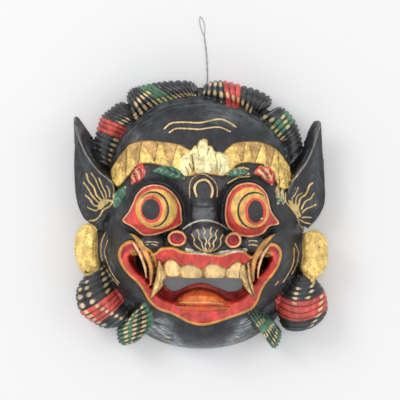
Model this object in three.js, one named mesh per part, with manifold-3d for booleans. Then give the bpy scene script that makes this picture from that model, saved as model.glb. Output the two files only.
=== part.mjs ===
// A carved and painted barong mask, and the wire that it hangs by.
// Millimetres. The mask lies on its back: +Z is out of the face, +Y towards the crown,
// and +X towards the right of someone who looks at the face.
import * as THREE from 'three';
import { mergeVertices } from 'three/addons/utils/BufferGeometryUtils.js';
import Module from 'manifold-3d';

const wasm = await Module();
wasm.setup();

// ---- Driving dimensions --------------------------------------------------------------------

const FACE = { x: 2, y: -2, halfWidth: 104, halfHeight: 134, depth: 86, squareness: 2.4 };
const HOLLOW = { halfWidth: 92, halfHeight: 121, depth: 60 };
const SWELLINGS = [
  { x: 4, y: -58, halfWidth: 84, halfHeight: 58, rise: 20 }, // muzzle
  { x: -78, y: -42, halfWidth: 34, halfHeight: 56, rise: 22 }, // left cheek
  { x: 82, y: -42, halfWidth: 34, halfHeight: 56, rise: 22 }, // right cheek
  { x: 4, y: 42, halfWidth: 96, halfHeight: 34, rise: 8 }, // brow
  { x: 4, y: -122, halfWidth: 34, halfHeight: 24, rise: 22 }, // chin
];
const HEAD_BACK = 20; // the head's form before its back is sawn flat
const SKY = 200; // higher than anything on the mask
const UNDER = 5; // raised carving starts this far above the back rim
const BAND_RISE = 5; // gilt headband above the forehead
const LIP_RISE = 7; // lip rim above the muzzle
const MOUTH_DEPTH = 19; // mouth floor below the muzzle
const TONGUE_DEPTH = 6; // tongue below the muzzle
const TOOTH_RISE = 1;
const LEAF_RISE = 4;

const EYES = [
  { x: -46, y: 5, lift: 78, tip: [-76, -4], inner: [-19, -9] },
  { x: 47, y: 6, lift: 78, tip: [78, -8], inner: [25, -8] },
];

// Wire: one thickness of wire folded double, its strands twisted round each other.
const WIRE = {
  radius: 0.3, twistRadius: 0.5, x: 7.5, twists: 3, twistSteps: 12, lean: 7, eyeBase: 184, eyeTop: 202,
  eyeHalfWidth: 2.2, turnGap: 8, tubeSteps: 64,
};
const CROWN = { y: 125, length: 60 }; // the rim at the top that the wire is bored through
const WIRE_HOLE = { radius: 1.6, z: 9 };
const WIRE_NOTCH = { width: 4, depth: 1.6 };

// ---- Solids --------------------------------------------------------------------------------

function solid(geometry) {
  geometry.deleteAttribute('normal');
  geometry.deleteAttribute('uv');
  const merged = mergeVertices(geometry, 1e-4);
  return new wasm.Manifold(new wasm.Mesh({
    numProp: 3,
    vertProperties: new Float32Array(merged.attributes.position.array),
    triVerts: new Uint32Array(merged.index.array),
  }));
}

function geometryOf(manifold) {
  const mesh = manifold.getMesh();
  const geometry = new THREE.BufferGeometry();
  geometry.setAttribute('position', new THREE.BufferAttribute(mesh.vertProperties, 3));
  geometry.setIndex(new THREE.BufferAttribute(mesh.triVerts, 1));
  return geometry;
}

function moveVertices(geometry, move) {
  const position = geometry.attributes.position;
  const point = new THREE.Vector3();
  for (let i = 0; i < position.count; i += 1) {
    point.fromBufferAttribute(position, i);
    move(point);
    position.setXYZ(i, point.x, point.y, point.z);
  }
  return geometry;
}

function join(pieces) {
  return pieces.reduce((whole, piece) => whole.add(piece));
}

function ball([x, y, z], [rx, ry, rz], { turn = 0, sides = 10 } = {}) {
  const geometry = new THREE.SphereGeometry(1, sides, Math.round(sides * 0.6));
  geometry.rotateX(Math.PI / 2).scale(rx, ry, rz).rotateZ(turn).translate(x, y, z);
  return solid(geometry);
}

function block([x, y, z], [width, height, depth]) {
  return solid(new THREE.BoxGeometry(width, height, depth).translate(x, y, z));
}

function smoothOutline(points, stepsPerPoint = 1) {
  const curve = new THREE.CatmullRomCurve3(points.map(([x, y]) => new THREE.Vector3(x, y, 0)), true);
  return curve.getPoints(points.length * stepsPerPoint).slice(0, -1);
}

// A straight-sided column standing on an outline.
function column(outline, low = -1, high = SKY) {
  const shape = new THREE.Shape(outline.map((point) => new THREE.Vector2(point.x, point.y)));
  const geometry = new THREE.ExtrudeGeometry(shape, { depth: high - low, bevelEnabled: false });
  return solid(geometry.translate(0, 0, low));
}

// ---- The face's own swell ------------------------------------------------------------------

// 1 at a form's centre and 0 at its edge, which is an oval, or a squarer one.
function inside({ x, y, halfWidth, halfHeight, squareness = 2 }, px, py) {
  const across = Math.abs((px - x) / halfWidth) ** squareness;
  const up = Math.abs((py - y) / halfHeight) ** squareness;
  return Math.max(0, 1 - (across + up) ** (2 / squareness));
}

function faceHeight(x, y) {
  const dome = FACE.depth * Math.sqrt(inside(FACE, x, y));
  const rise = (swelling) => swelling.rise * inside(swelling, x, y) ** 2;
  return SWELLINGS.reduce((height, swelling) => height + rise(swelling), dome);
}

// The whole head as one closed form, its front lifted or lowered.
function head(lift) {
  const geometry = new THREE.SphereGeometry(1, 26, 14).rotateX(Math.PI / 2);
  moveVertices(geometry, (p) => {
    const powers = Math.abs(p.x) ** FACE.squareness + Math.abs(p.y) ** FACE.squareness;
    const corner = powers ** (1 / FACE.squareness);
    const square = corner > 0 ? Math.hypot(p.x, p.y) / corner : 1;
    const x = FACE.x + FACE.halfWidth * p.x * square;
    const y = FACE.y + FACE.halfHeight * p.y * square;
    p.set(x, y, p.z > 0 ? faceHeight(x, y) + lift * Math.min(1, 2 * p.z) : HEAD_BACK * p.z);
  });
  return solid(geometry);
}

// Carving that stands out from the face by a given rise, inside an outline.
function raised(points, rise) {
  return column(smoothOutline(points), UNDER).intersect(head(rise));
}

// ---- Rolls, strips and horns: a tapering body along a curve ------------------------------------

function along(points, radii, { rings = 0, steps = 5, sides = 7, flat = 1, cut = 0.09 } = {}) {
  const curve = new THREE.CatmullRomCurve3(points.map(([x, y, z]) => new THREE.Vector3(x, y, z)));
  const count = rings ? rings * 2 : steps;
  const geometry = new THREE.CylinderGeometry(1, 1, 1, sides, count);
  const up = new THREE.Vector3(0, 0, 1);
  moveVertices(geometry, (p) => {
    const t = p.y + 0.5;
    const place = t * (radii.length - 1);
    const before = Math.min(Math.floor(place), radii.length - 2);
    const radius = THREE.MathUtils.lerp(radii[before], radii[before + 1], place - before);
    const groove = rings && Math.round(t * count) % 2 === 0 ? 1 - cut : 1;
    const tangent = curve.getTangentAt(t);
    const side = new THREE.Vector3().crossVectors(tangent, up).normalize();
    const over = new THREE.Vector3().crossVectors(side, tangent);
    const centre = curve.getPointAt(t);
    centre.addScaledVector(side, p.x * radius * groove);
    centre.addScaledVector(over, p.z * radius * groove * flat);
    p.copy(centre);
  });
  return solid(geometry);
}

// ---- Features ------------------------------------------------------------------------------

function hairRolls() {
  const rolls = [
    { points: [[-76, 104, 30], [-88, 90, 31], [-97, 72, 31], [-96, 50, 32]],
      radii: [13, 15, 13, 6], rings: 7 },
    { points: [[-70, 100, 33], [-56, 113, 32], [-37, 122, 31], [-15, 125, 30], [-2, 125, 28]],
      radii: [13, 15, 12.5, 9.5, 6], rings: 8 },
    { points: [[2, 125, 28], [24, 122, 30], [45, 115, 32], [61, 107, 33], [70, 101, 33]],
      radii: [7, 12, 14.5, 14.5, 10], rings: 8 },
    { points: [[74, 103, 30], [84, 92, 31], [91, 77, 31], [91, 57, 32]], radii: [11, 14, 12, 6], rings: 6 },
    { points: [[-116, -62, 26], [-104, -82, 28], [-88, -110, 26]], radii: [13, 25, 22, 10], rings: 6 },
    { points: [[-57, -88, 30], [-64, -108, 28], [-76, -131, 24]], radii: [8, 14.5, 13.5, 5], rings: 6 },
    { points: [[100, -62, 26], [104, -88, 28], [98, -117, 26]], radii: [11, 25, 23, 12], rings: 6 },
    { points: [[54, -102, 30], [63, -116, 28], [76, -134, 24]], radii: [7, 14, 12.5, 3], rings: 5 },
  ];
  return rolls.map(({ points, radii, rings }) => along(points, radii, { rings }));
}

function earSolid(side) {
  const outline = [[126, 99], [127, 60], [127, 18], [118, -4], [108, -10], [92, -4], [84, 12],
    [87, 34], [99, 56], [111, 80], [119, 94]];
  const rim = [[124, 97, 46], [118, 72, 52], [109, 54, 57], [99, 42, 60], [86, 33, 62]];
  const blade = new THREE.BoxGeometry(56, 118, 9, 4, 6, 1).translate(105, 44, 0);
  const rimLine = new THREE.CatmullRomCurve3(rim.map(([x, y, z]) => new THREE.Vector3(x, y, z)));
  const rimPoints = rimLine.getPoints(24);
  moveVertices(blade, (p) => {
    const level = rimPoints.reduce((best, q) => (Math.abs(q.y - p.y) < Math.abs(best.y - p.y) ? q : best));
    const outward = p.x - level.x;
    const fall = outward > 0 ? outward * 0.45 : -outward * 1.5;
    p.z += Math.max(level.z - 4 - fall, 26);
  });
  const shape = smoothOutline(outline, 2);
  const edge = along(rim, [1.5, 2.5, 3, 3, 2.5], { sides: 5, steps: 7 });
  const ear = column(shape, 0).intersect(solid(blade)).add(edge);
  return side > 0 ? ear : ear.mirror([1, 0, 0]);
}

function earring(side) {
  const lumps = [[103, -22, 34, 12], [113, -34, 38, 15], [112, -50, 36, 14], [95, -36, 30, 14]];
  const pieces = lumps.map(([x, y, z, size]) => solid(
    new THREE.IcosahedronGeometry(size, size > 14 ? 1 : 0).scale(1, 1.1, 0.85).translate(side * x, y, z)));
  return join(pieces);
}

function headband() {
  const outline = [[-90, 43], [-82, 57], [-69, 71], [-42, 73], [-12, 67], [4, 76], [19, 63], [49, 73],
    [76, 66], [92, 43], [88, 27], [74, 36], [58, 51], [40, 51], [10, 41], [-10, 38], [-42, 50],
    [-63, 49], [-83, 28]];
  const pleats = [-74, -60, -46, -32, -18, 26, 40, 54, 68, 80].map((x, i) => {
    const y = 61 - Math.abs(Math.abs(x - 3) - 44) * 0.12 - Math.max(0, Math.abs(x - 3) - 60) * 0.7;
    const pyramid = new THREE.ConeGeometry(9, 10, 4, 1).rotateX(Math.PI / 2).rotateZ((i % 2) * 0.4);
    return solid(pyramid.translate(x, y, faceHeight(x, y) + BAND_RISE + 1));
  });
  const petals = [-0.9, -0.45, 0, 0.45, 0.9].map((angle) => {
    const x = 4 + 13 * Math.sin(angle);
    const y = 51 + 13 * Math.cos(angle);
    return ball([x, y, faceHeight(x, y) + 4], [5.5, 9, 6], { turn: -angle, sides: 8 });
  });
  return [raised(outline, BAND_RISE), ...pleats, ...petals];
}

function browLeaves() {
  const leaves = [
    [[-44, 38], [-34, 49], [-22, 46], [-17, 38], [-30, 37]],
    [[-69, 33], [-64, 49], [-54, 50], [-56, 40]],
    [[-85, 11], [-82, 27], [-73, 26], [-76, 14]],
    [[29, 38], [34, 48], [47, 47], [46, 38]],
    [[54, 48], [66, 50], [71, 36], [62, 30]],
    [[76, 12], [75, 28], [84, 30], [86, 12]],
  ];
  return leaves.map((outline) => raised(outline, LEAF_RISE));
}

// Half of an eye's section, as [distance from its axis, height]: socket, lid, ball and iris.
const EYE_SECTION = [[0, -30], [31, -30], [30, 2], [27, 9], [25, 12], [23, 11], [22, 9], [17, 19], [13, 22],
  [9, 26], [0, 28]];

function eye({ x, y, lift, tip, inner }) {
  const section = EYE_SECTION.map(([distance, height]) => new THREE.Vector2(distance, height));
  const turned = new THREE.LatheGeometry(section, 14).rotateX(Math.PI / 2);
  const corner = ([tx, ty]) => along(
    [[x, y, lift - 4], [(x + tx) / 2, (y + ty) / 2, lift - 4], [tx, ty, faceHeight(tx, ty)]],
    [14, 9, 1.5], { steps: 4, sides: 6, flat: 0.7 });
  return [solid(turned.translate(x, y, lift)), corner(tip), corner(inner)];
}

function thirdEye() {
  const arch = along([[-5, 16, 93], [-3, 29, 95], [4, 34, 95], [11, 29, 95], [13, 16, 93]],
    [2.4, 2.8, 3, 2.8, 2.4], { sides: 6 });
  return [ball([4, 22, 78], [14, 18, 20]), arch];
}

function nose() {
  const bridge = along([[4, 14, 82], [4, 0, 90], [6, -14, 98]], [9, 9, 12], { steps: 4 });
  const bulb = ball([7, -22, 98], [17, 15, 17]);
  const wing = (x) => ball([x, -23, 94], [11, 9, 11])
    .subtract(ball([x, -24, 104], [5.5, 3.5, 8], { sides: 6 }));
  const puff = (x) => ball([x, -28, 86], [11, 8, 10], { sides: 8 });
  return [bridge, bulb, wing(-22), wing(34), puff(-46), puff(52)];
}

const MOUTH_OUTLINE = [[-67, -25], [-76, -28], [-81, -36], [-80, -46], [-72, -59], [-60, -71], [-52, -86],
  [-40, -95], [-20, -103], [2, -110], [27, -104], [46, -97], [58, -87], [63, -73], [73, -59], [80, -47],
  [81, -36], [76, -29], [68, -28], [59, -35], [51, -40], [44, -35], [34, -34], [20, -38], [0, -36],
  [-16, -35], [-27, -31], [-38, -32], [-45, -38], [-53, -33]];
const THROAT_OUTLINE = [[-64, -38], [-70, -44], [-62, -60], [-50, -74], [-40, -88], [-20, -96], [4, -99],
  [28, -97], [46, -90], [54, -74], [64, -60], [70, -46], [66, -38], [54, -50], [40, -44], [4, -47],
  [-38, -44], [-52, -48]];
const GAP_OUTLINE = [[-37, -64], [-33, -73], [-24, -76], [-10, -70], [4, -68], [18, -73], [30, -77],
  [41, -74], [42, -64], [34, -61.5], [3, -61.5], [-28, -61.5]];

function teeth() {
  const fronts = [[-27, -52, 8], [-9.5, -53, 9], [15, -53, 10], [33, -54, 8]];
  const outline = (x, y, half) => [[x - half, y + 11], [x + half, y + 11], [x + half, y - 8], [x, y - 10],
    [x - half, y - 8]];
  return fronts.map(([x, y, half]) => raised(outline(x, y, half), TOOTH_RISE));
}

function fangs() {
  const fang = (points) => along(points, [7, 6, 4, 1], { steps: 5, sides: 6 });
  return [
    fang([[-38, -44, 92], [-40, -56, 98], [-45, -70, 99], [-48, -81, 94]]),
    fang([[45, -46, 92], [46, -58, 98], [50, -70, 98], [53, -80, 94]]),
  ];
}

function cheekStrips() {
  const strip = (points) => along(points, [3, 3.5, 3.5, 2], { steps: 6, sides: 5 });
  const mirrored = (points) => points.map(([x, y, z]) => [7 - x, y, z]);
  const outer = [[-69, -18, 74], [-60, -28, 84], [-52, -44, 90], [-48, -73, 88]];
  const inner = [[-66, -27, 76], [-58, -42, 84], [-53, -62, 84], [-54, -66, 80]];
  return [strip(outer), strip(inner), strip(mirrored(outer)), strip(mirrored(inner))];
}

function tongue() {
  const blade = [[-26, -88], [-16, -77], [0, -73], [16, -77], [27, -84], [31, -93], [16, -102],
    [-10, -102]];
  return [raised(blade, -TONGUE_DEPTH), ball([4, -90, 78], [25, 11, 16])];
}

// ---- The mask ------------------------------------------------------------------------------

function wireHole() {
  const drill = new THREE.CylinderGeometry(WIRE_HOLE.radius, WIRE_HOLE.radius, CROWN.length, 8);
  return solid(drill.translate(WIRE.x, CROWN.y, WIRE_HOLE.z));
}

function makeMask() {
  const outside = [head(0), ...headband(), ...browLeaves(), ...EYES.flatMap(eye), ...thirdEye(), ...nose()];
  const lips = raised(MOUTH_OUTLINE, LIP_RISE);
  const mouth = column(smoothOutline(THROAT_OUTLINE), UNDER).subtract(head(-MOUTH_DEPTH));
  const hollowSize = [HOLLOW.halfWidth, HOLLOW.halfHeight, HOLLOW.depth];
  const hollow = ball([FACE.x, FACE.y, 0], hollowSize, { sides: 20 });
  const gap = column(smoothOutline(GAP_OUTLINE));
  const surround = [...hairRolls(), earSolid(1), earSolid(-1), earring(1), earring(-1)];
  const inMouth = [...teeth(), ...fangs(), ...cheekStrips(), ...tongue()];
  return join([join([...outside, lips]).subtract(mouth), ...inMouth, ...surround])
    .subtract(gap)
    .subtract(hollow)
    .subtract(wireHole())
    .subtract(block([WIRE.x, CROWN.y, 0], [WIRE_NOTCH.width, CROWN.length, 2 * WIRE_NOTCH.depth]))
    .subtract(block([0, 0, -SKY / 2], [2 * SKY, 2 * SKY, SKY]));
}

// ---- The hanging wire -----------------------------------------------------------------------

// Out through the hole, twisted with its other half up to the eye, round it, and back by the notch.
function wireRoute() {
  const start = FACE.y + HOLLOW.halfHeight;
  const wallOut = FACE.y + FACE.halfHeight;
  const turnStart = wallOut + WIRE.turnGap;
  const turnEnd = WIRE.eyeBase;
  const level = WIRE.radius + WIRE.twistRadius + 0.1;
  const lean = (y) => WIRE.x - WIRE.lean * Math.max(0, (y - turnStart) / (WIRE.eyeTop - turnStart)) ** 2;
  const strand = (side) => {
    const points = [];
    for (let i = 0; i <= WIRE.twistSteps; i += 1) {
      const y = THREE.MathUtils.lerp(turnStart, turnEnd, i / WIRE.twistSteps);
      const angle = Math.PI * side + 2 * Math.PI * WIRE.twists * (i / WIRE.twistSteps);
      const across = WIRE.twistRadius * Math.cos(angle);
      points.push([lean(y) + across, y, level + WIRE.twistRadius * Math.sin(angle)]);
    }
    return points;
  };
  const eyeSide = (side) => [0.25, 0.5, 0.75].map((t) => {
    const y = THREE.MathUtils.lerp(turnEnd, WIRE.eyeTop, t);
    return [lean(y) + side * WIRE.eyeHalfWidth * Math.sin(Math.PI * (0.12 + 0.7 * t)), y, level];
  });
  return [
    [WIRE.x, start - 5, WIRE_HOLE.z - 2],
    [WIRE.x, start + 1, WIRE_HOLE.z],
    [WIRE.x, wallOut + 1, WIRE_HOLE.z],
    [WIRE.x + 0.3, wallOut + 4.5, WIRE_HOLE.z - 4],
    ...strand(0),
    ...eyeSide(1),
    [lean(WIRE.eyeTop), WIRE.eyeTop, level],
    ...eyeSide(-1).reverse(),
    ...strand(1).reverse(),
    [WIRE.x - 0.3, wallOut + 3, level],
    [WIRE.x, start - 1, level],
    [WIRE.x, start - 4, level + 2],
  ];
}

function makeWire() {
  const route = new THREE.CatmullRomCurve3(wireRoute().map((point) => new THREE.Vector3(...point)));
  const section = new THREE.Shape();
  section.absarc(0, 0, WIRE.radius, 0, 2 * Math.PI);
  const settings = { steps: WIRE.tubeSteps, curveSegments: 4, extrudePath: route };
  return solid(new THREE.ExtrudeGeometry(section, settings));
}

// ---- The model -----------------------------------------------------------------------------

const MATERIALS = {
  mask: { color: 0x1c1d1f, roughness: 0.5, metalness: 0 },
  hanging_wire: { color: 0x8a7f72, roughness: 0.35, metalness: 1 },
};

const solids = { mask: makeMask(), hanging_wire: makeWire() };
const box = solids.mask.boundingBox();
const group = new THREE.Group();
for (const [name, form] of Object.entries(solids)) {
  const mesh = new THREE.Mesh(geometryOf(form), new THREE.MeshStandardMaterial(MATERIALS[name]));
  mesh.name = name;
  mesh.position.set(-(box.min[0] + box.max[0]) / 2, -(box.min[1] + box.max[1]) / 2, -box.min[2]);
  group.add(mesh);
}

export default group;
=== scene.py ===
import math

import bmesh
import bpy
import numpy as np
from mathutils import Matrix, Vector, noise


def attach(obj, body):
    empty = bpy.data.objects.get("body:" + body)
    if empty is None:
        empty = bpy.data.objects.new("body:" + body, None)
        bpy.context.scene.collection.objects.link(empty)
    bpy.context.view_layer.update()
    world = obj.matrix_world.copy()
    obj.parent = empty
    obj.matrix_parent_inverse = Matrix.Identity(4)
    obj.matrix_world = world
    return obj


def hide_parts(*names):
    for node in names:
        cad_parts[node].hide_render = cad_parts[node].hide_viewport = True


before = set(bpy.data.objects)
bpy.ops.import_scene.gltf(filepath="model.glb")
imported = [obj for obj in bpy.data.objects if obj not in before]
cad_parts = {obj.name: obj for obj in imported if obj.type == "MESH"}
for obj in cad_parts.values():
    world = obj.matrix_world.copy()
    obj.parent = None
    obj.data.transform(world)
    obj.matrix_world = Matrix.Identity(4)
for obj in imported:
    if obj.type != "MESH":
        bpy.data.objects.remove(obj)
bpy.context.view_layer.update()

MM = 0.001

# ---- Driving dimensions, in millimetres ----------------------------------------------------

CARVING_CENTRE = (0.0, -0.7)  # middle of the carving's own box, which the frame puts at its origin
FACE = dict(x=2, y=-2, half_width=104, half_height=134, depth=86, squareness=2.4)
HOLLOW = dict(half_width=92, half_height=121, depth=60)
SWELLINGS = [
    dict(x=4, y=-58, half_width=84, half_height=58, rise=20),  # muzzle
    dict(x=-78, y=-42, half_width=34, half_height=56, rise=22),  # left cheek
    dict(x=82, y=-42, half_width=34, half_height=56, rise=22),  # right cheek
    dict(x=4, y=42, half_width=96, half_height=34, rise=8),  # brow
    dict(x=4, y=-122, half_width=34, half_height=24, rise=22),  # chin
]
FACE_GRID = 300  # grid steps across the face block
VOXEL = 0.95  # the knife's finest cut
MOST_TRIANGLES = 187_000
EDGE_CARE = 0.3  # how strongly thinning keeps the mesh fine along painted edges
EDGE_MARGIN = 1.3  # how wide the mesh is kept fine on each side of a painted edge
FAR = 50.0  # stands for "nowhere near"

EYES = [  # the pupil, the rings round it and the yolk are ovals: centre, half-width and half-height
    dict(x=-46, y=5, yolk=(-42.6, 6.2, 20.4, 19.6), pupil=(-48, 5.7, 8.9, 10.2),
         crimson=(-47.4, 5.7, 11.0, 13.3), orange=(-47, 5.7, 13.9, 15.3), arc=(-46.3, 5.7, 15.2, 17.0),
         lit_side=1, glint=None,
         outline=[(-76.4, -4.5), (-70.5, 3), (-66, 12), (-62, 21), (-54, 28), (-44, 30), (-33, 27),
                  (-24, 19), (-19, 9), (-18.2, 0), (-18, -8), (-25, -12.5), (-34, -16), (-45, -19.3),
                  (-56, -19.5), (-66, -12), (-73.5, -8)]),
    dict(x=47, y=6, yolk=(49.0, 7.2, 18.8, 20.2), pupil=(54.4, 3.8, 7.6, 11),
         crimson=(54.4, 3.8, 10.6, 13.4), orange=(53.6, 4, 14.2, 16), arc=(53.5, 4.6, 16.2, 17.6),
         lit_side=-1, glint=(60.6, -3.2),
         outline=[(78, -8), (70, 4), (66, 20), (58, 29), (48, 32), (36, 29), (28, 20), (25, 8),
                  (25, -4), (29, -13), (40, -20), (52, -21), (62, -18), (68, -11)]),
]


# ---- Curves and distances ------------------------------------------------------------------

def smooth_curve(points, closed=False, steps=6):
    """Points along a smooth curve through the given ones."""
    known = np.asarray(points, float)
    count = len(known)
    if closed:
        before, after, beyond = np.roll(known, 1, 0), np.roll(known, -1, 0), np.roll(known, -2, 0)
        here = known
    else:
        padded = np.vstack([2 * known[0] - known[1], known, 2 * known[-1] - known[-2]])
        before, here, after, beyond = padded[:-3], padded[1:-2], padded[2:-1], padded[3:]
    t = np.linspace(0, 1, steps, endpoint=False)[None, :, None]
    b, h, a, y = (part[:, None, :] for part in (before, here, after, beyond))
    straight, bent, curled = a - b, 2 * b - 5 * h + 4 * a - y, 3 * h - b - 3 * a + y
    curve = 0.5 * (2 * h + straight * t + bent * t**2 + curled * t**3)
    curve = curve.reshape(-1, known.shape[1])
    return curve if closed or count < 2 else np.vstack([curve, known[-1]])


def ease(value, low, high):
    """0 below low, 1 above high, and a smooth turn between."""
    t = np.clip((value - low) / (high - low), 0, 1)
    return t * t * (3 - 2 * t)


def near_box(x, y, line, margin):
    """Which places are within a margin of a line's own box."""
    low, high = line[:, :2].min(0) - margin, line[:, :2].max(0) + margin
    return (x > low[0]) & (x < high[0]) & (y > low[1]) & (y < high[1])


def from_line(x, y, points, margin=12.0, closed=False, steps=6):
    """Distance to a smooth line, how far along it that is (0 to 1), and the distance signed by side."""
    line = smooth_curve(points, closed, steps)
    if closed:
        line = np.vstack([line, line[0]])
    distance, place, side = np.full(x.shape, FAR), np.zeros(x.shape), np.full(x.shape, FAR)
    close = near_box(x, y, line, margin)
    px, py = x[close], y[close]
    best, where, sign = np.full(px.shape, FAR), np.zeros(px.shape), np.ones(px.shape)
    lengths = np.linalg.norm(np.diff(line[:, :2], axis=0), axis=1)
    reached = np.concatenate([[0], np.cumsum(lengths)]) / max(lengths.sum(), 1e-9)
    for i, (start, end) in enumerate(zip(line[:-1, :2], line[1:, :2])):
        run = end - start
        length2 = max(float(run @ run), 1e-12)
        t = np.clip(((px - start[0]) * run[0] + (py - start[1]) * run[1]) / length2, 0, 1)
        dx, dy = px - start[0] - t * run[0], py - start[1] - t * run[1]
        d = np.hypot(dx, dy)
        better = d < best
        best = np.where(better, d, best)
        where = np.where(better, reached[i] + t * (reached[i + 1] - reached[i]), where)
        sign = np.where(better, np.sign(run[0] * dy - run[1] * dx), sign)
    distance[close], place[close], side[close] = best, where, best * sign
    return distance, place, side


def depth_inside(x, y, points, margin=12.0, steps=4):
    """Distance in from a closed smooth outline; negative outside it."""
    line = smooth_curve(points, True, steps)
    distance = from_line(x, y, points, margin, True, steps)[0]
    inside = np.zeros(x.shape, bool)
    for (ax, ay), (bx, by) in zip(line, np.roll(line, -1, 0)):
        crosses = (ay > y) != (by > y)
        inside ^= crosses & (x < (bx - ax) * (y - ay) / (by - ay + 1e-12) + ax)
    return np.where(inside, distance, -distance)


def bump(x, y, centre, size, turn=0.0):
    """1 at the centre of an oval, falling round as a ball's top does to 0 at its edge."""
    dx, dy = x - centre[0], y - centre[1]
    c, s = math.cos(turn), math.sin(turn)
    u, v = (dx * c + dy * s) / size[0], (dy * c - dx * s) / size[1]
    return np.sqrt(np.clip(1 - u * u - v * v, 0, 1))


def swollen(z, swell, foot, rise):
    """Lifts a rounded form out of the carving, from its foot's height."""
    return np.where(swell > 0, np.maximum(z, foot + rise * swell), z)


# ---- The face as one carved relief ---------------------------------------------------------

def reach(x, y, form, squareness=2.0):
    """How far out from a form's middle a place is; 1 is at its edge."""
    u, v = np.abs(x - form["x"]) / form["half_width"], np.abs(y - form["y"]) / form["half_height"]
    return (u**squareness + v**squareness) ** (1 / squareness)


def face_height(x, y):
    """The head's plain dome with its swellings, before any carving."""
    height = FACE["depth"] * np.sqrt(np.clip(1 - reach(x, y, FACE, FACE["squareness"]) ** 2, 0, 1))
    for swelling in SWELLINGS:
        height += swelling["rise"] * np.clip(1 - reach(x, y, swelling) ** 2, 0, 1) ** 2
    return height


CAP_EDGE = [
    (-91, 44), (-89, 60), (-82, 77), (-74, 88), (-66, 95), (-55, 105), (-44, 111), (-28, 116.5),
    (-10, 119), (4, 118), (16, 115), (30, 110), (45, 105), (57, 99.5), (69, 90), (77, 82), (84, 72),
    (88, 60), (91, 44), (60, 0), (0, -20), (-60, 0),
]
HAIR_BED = dict(drop=16, slope=5, lip=0.8, lip_inset=2, lip_half=2.5, lowest=38, full_from=60)


def lower_hair_bed(x, y, z):
    """The skull ends in a raised lip and a low step, and the hair lies outside it."""
    depth = depth_inside(x, y, CAP_EDGE, HAIR_BED["full_from"])
    upper = ease(y, HAIR_BED["lowest"], HAIR_BED["full_from"])
    step = HAIR_BED["drop"] * ease(-depth, 0, HAIR_BED["slope"]) * upper
    lip = HAIR_BED["lip"] * ease(-np.abs(depth - HAIR_BED["lip_inset"]), -HAIR_BED["lip_half"], 0) * upper
    return z - step + lip


BAND_OUTLINE = [
    (-90, 43), (-82, 57), (-74, 67), (-69, 71), (-55, 74), (-42, 73), (-23, 70.5), (-12, 65.5),
    (-9, 64.3), (-5.3, 68.8), (-3, 69), (-1, 73.5), (4, 75.6), (7.6, 74), (8.3, 69), (11.5, 68.4),
    (14.8, 63), (19, 62.7), (23, 61.4), (26, 65), (35, 71.3), (49, 73), (62, 72), (76, 66), (85, 56),
    (92, 43), (88, 27), (80, 27), (74, 36), (68, 47), (58, 51), (40, 51), (30, 43.5), (22, 38.5),
    (12, 40), (3, 41.4), (-8, 38.8), (-18, 38.5), (-24, 42), (-42, 50), (-55, 51), (-63, 49),
    (-70, 40), (-83, 28),
]
# Folds between the headband's pleats, from its top edge to its bottom edge, and whether the pleat
# on the right of each stands forward.
FOLDS = [
    ((-83.5, 53.5), (-74.7, 41), False), ((-73.5, 63.5), (-74, 43.5), True),
    ((-72, 65), (-63.5, 51), False), ((-59, 69), (-61, 51), True), ((-57, 69.5), (-46, 54), False),
    ((-42.3, 69), (-44.8, 54), True), ((-38.5, 70), (-30.4, 50.4), False),
    ((-22.9, 68.5), (-27.9, 51), True), ((-11, 61.6), (-20.4, 46), False),
    ((-7.9, 60.4), (-5.4, 46), True), ((22, 62), (28.8, 50), True), ((33.8, 68), (40.6, 53), False),
    ((44.4, 68.5), (41.9, 54), True), ((49.4, 69), (53.5, 51.6), False),
    ((60, 68.5), (54.4, 51.6), True), ((64.4, 69), (66, 51), False), ((74.4, 65), (69.4, 46), True),
    ((78, 60.4), (78.8, 34.8), True), ((87.5, 48.5), (80, 31.6), True),
]
BAND_RISE = 4.0
PLEAT_RISE = 2.6
FOLD_DEPTH = 1.2
FLOWER_RISE = 5.0
FLOWER = [  # the flower's petals: centre, half-width, half-height and lean
    (3, 64, 5.4, 12, 0.0), (-4.6, 59, 4.2, 10, 0.2), (11.2, 59, 4.2, 9.5, -0.25),
    (-13, 50.5, 6.8, 12, -0.25), (21.6, 50.5, 7.2, 12.5, 0.12), (4.8, 49, 10.5, 11, 0.0),
]


def past_fold(x, y, fold):
    """How far a point is to the right of a fold's line."""
    (ax, ay), (bx, by), _ = fold
    return ((x - ax) * (ay - by) + (y - ay) * (bx - ax)) / math.hypot(bx - ax, by - ay)


def pleat_folds(x, y):
    """How far the pleats stand forward (0 to 1), and the distance to the nearest fold."""
    forward, near = np.ones(x.shape), np.full(x.shape, FAR)
    for fold in FOLDS:
        past = past_fold(x, y, fold)
        forward = np.where(past > 0, forward + (fold[2] - forward) * ease(past, 0, 1.2), forward)
        near = np.minimum(near, np.abs(past))
    return forward, near


def carve_headband(x, y, z):
    """Gilt band of zigzag pleats with a flower in its middle."""
    depth = depth_inside(x, y, BAND_OUTLINE)
    forward, near = pleat_folds(x, y)
    pleated = PLEAT_RISE * forward - FOLD_DEPTH * ease(-near, -1.3, 0)
    z = z + BAND_RISE * ease(depth, -0.5, 1.0) + pleated * ease(depth, 0, 1.5)
    rise = np.zeros(x.shape)
    for px, py, half_width, half_height, lean in FLOWER:
        rise = np.maximum(rise, FLOWER_RISE * bump(x, y, (px, py), (half_width, half_height), lean))
    return z + rise


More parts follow.
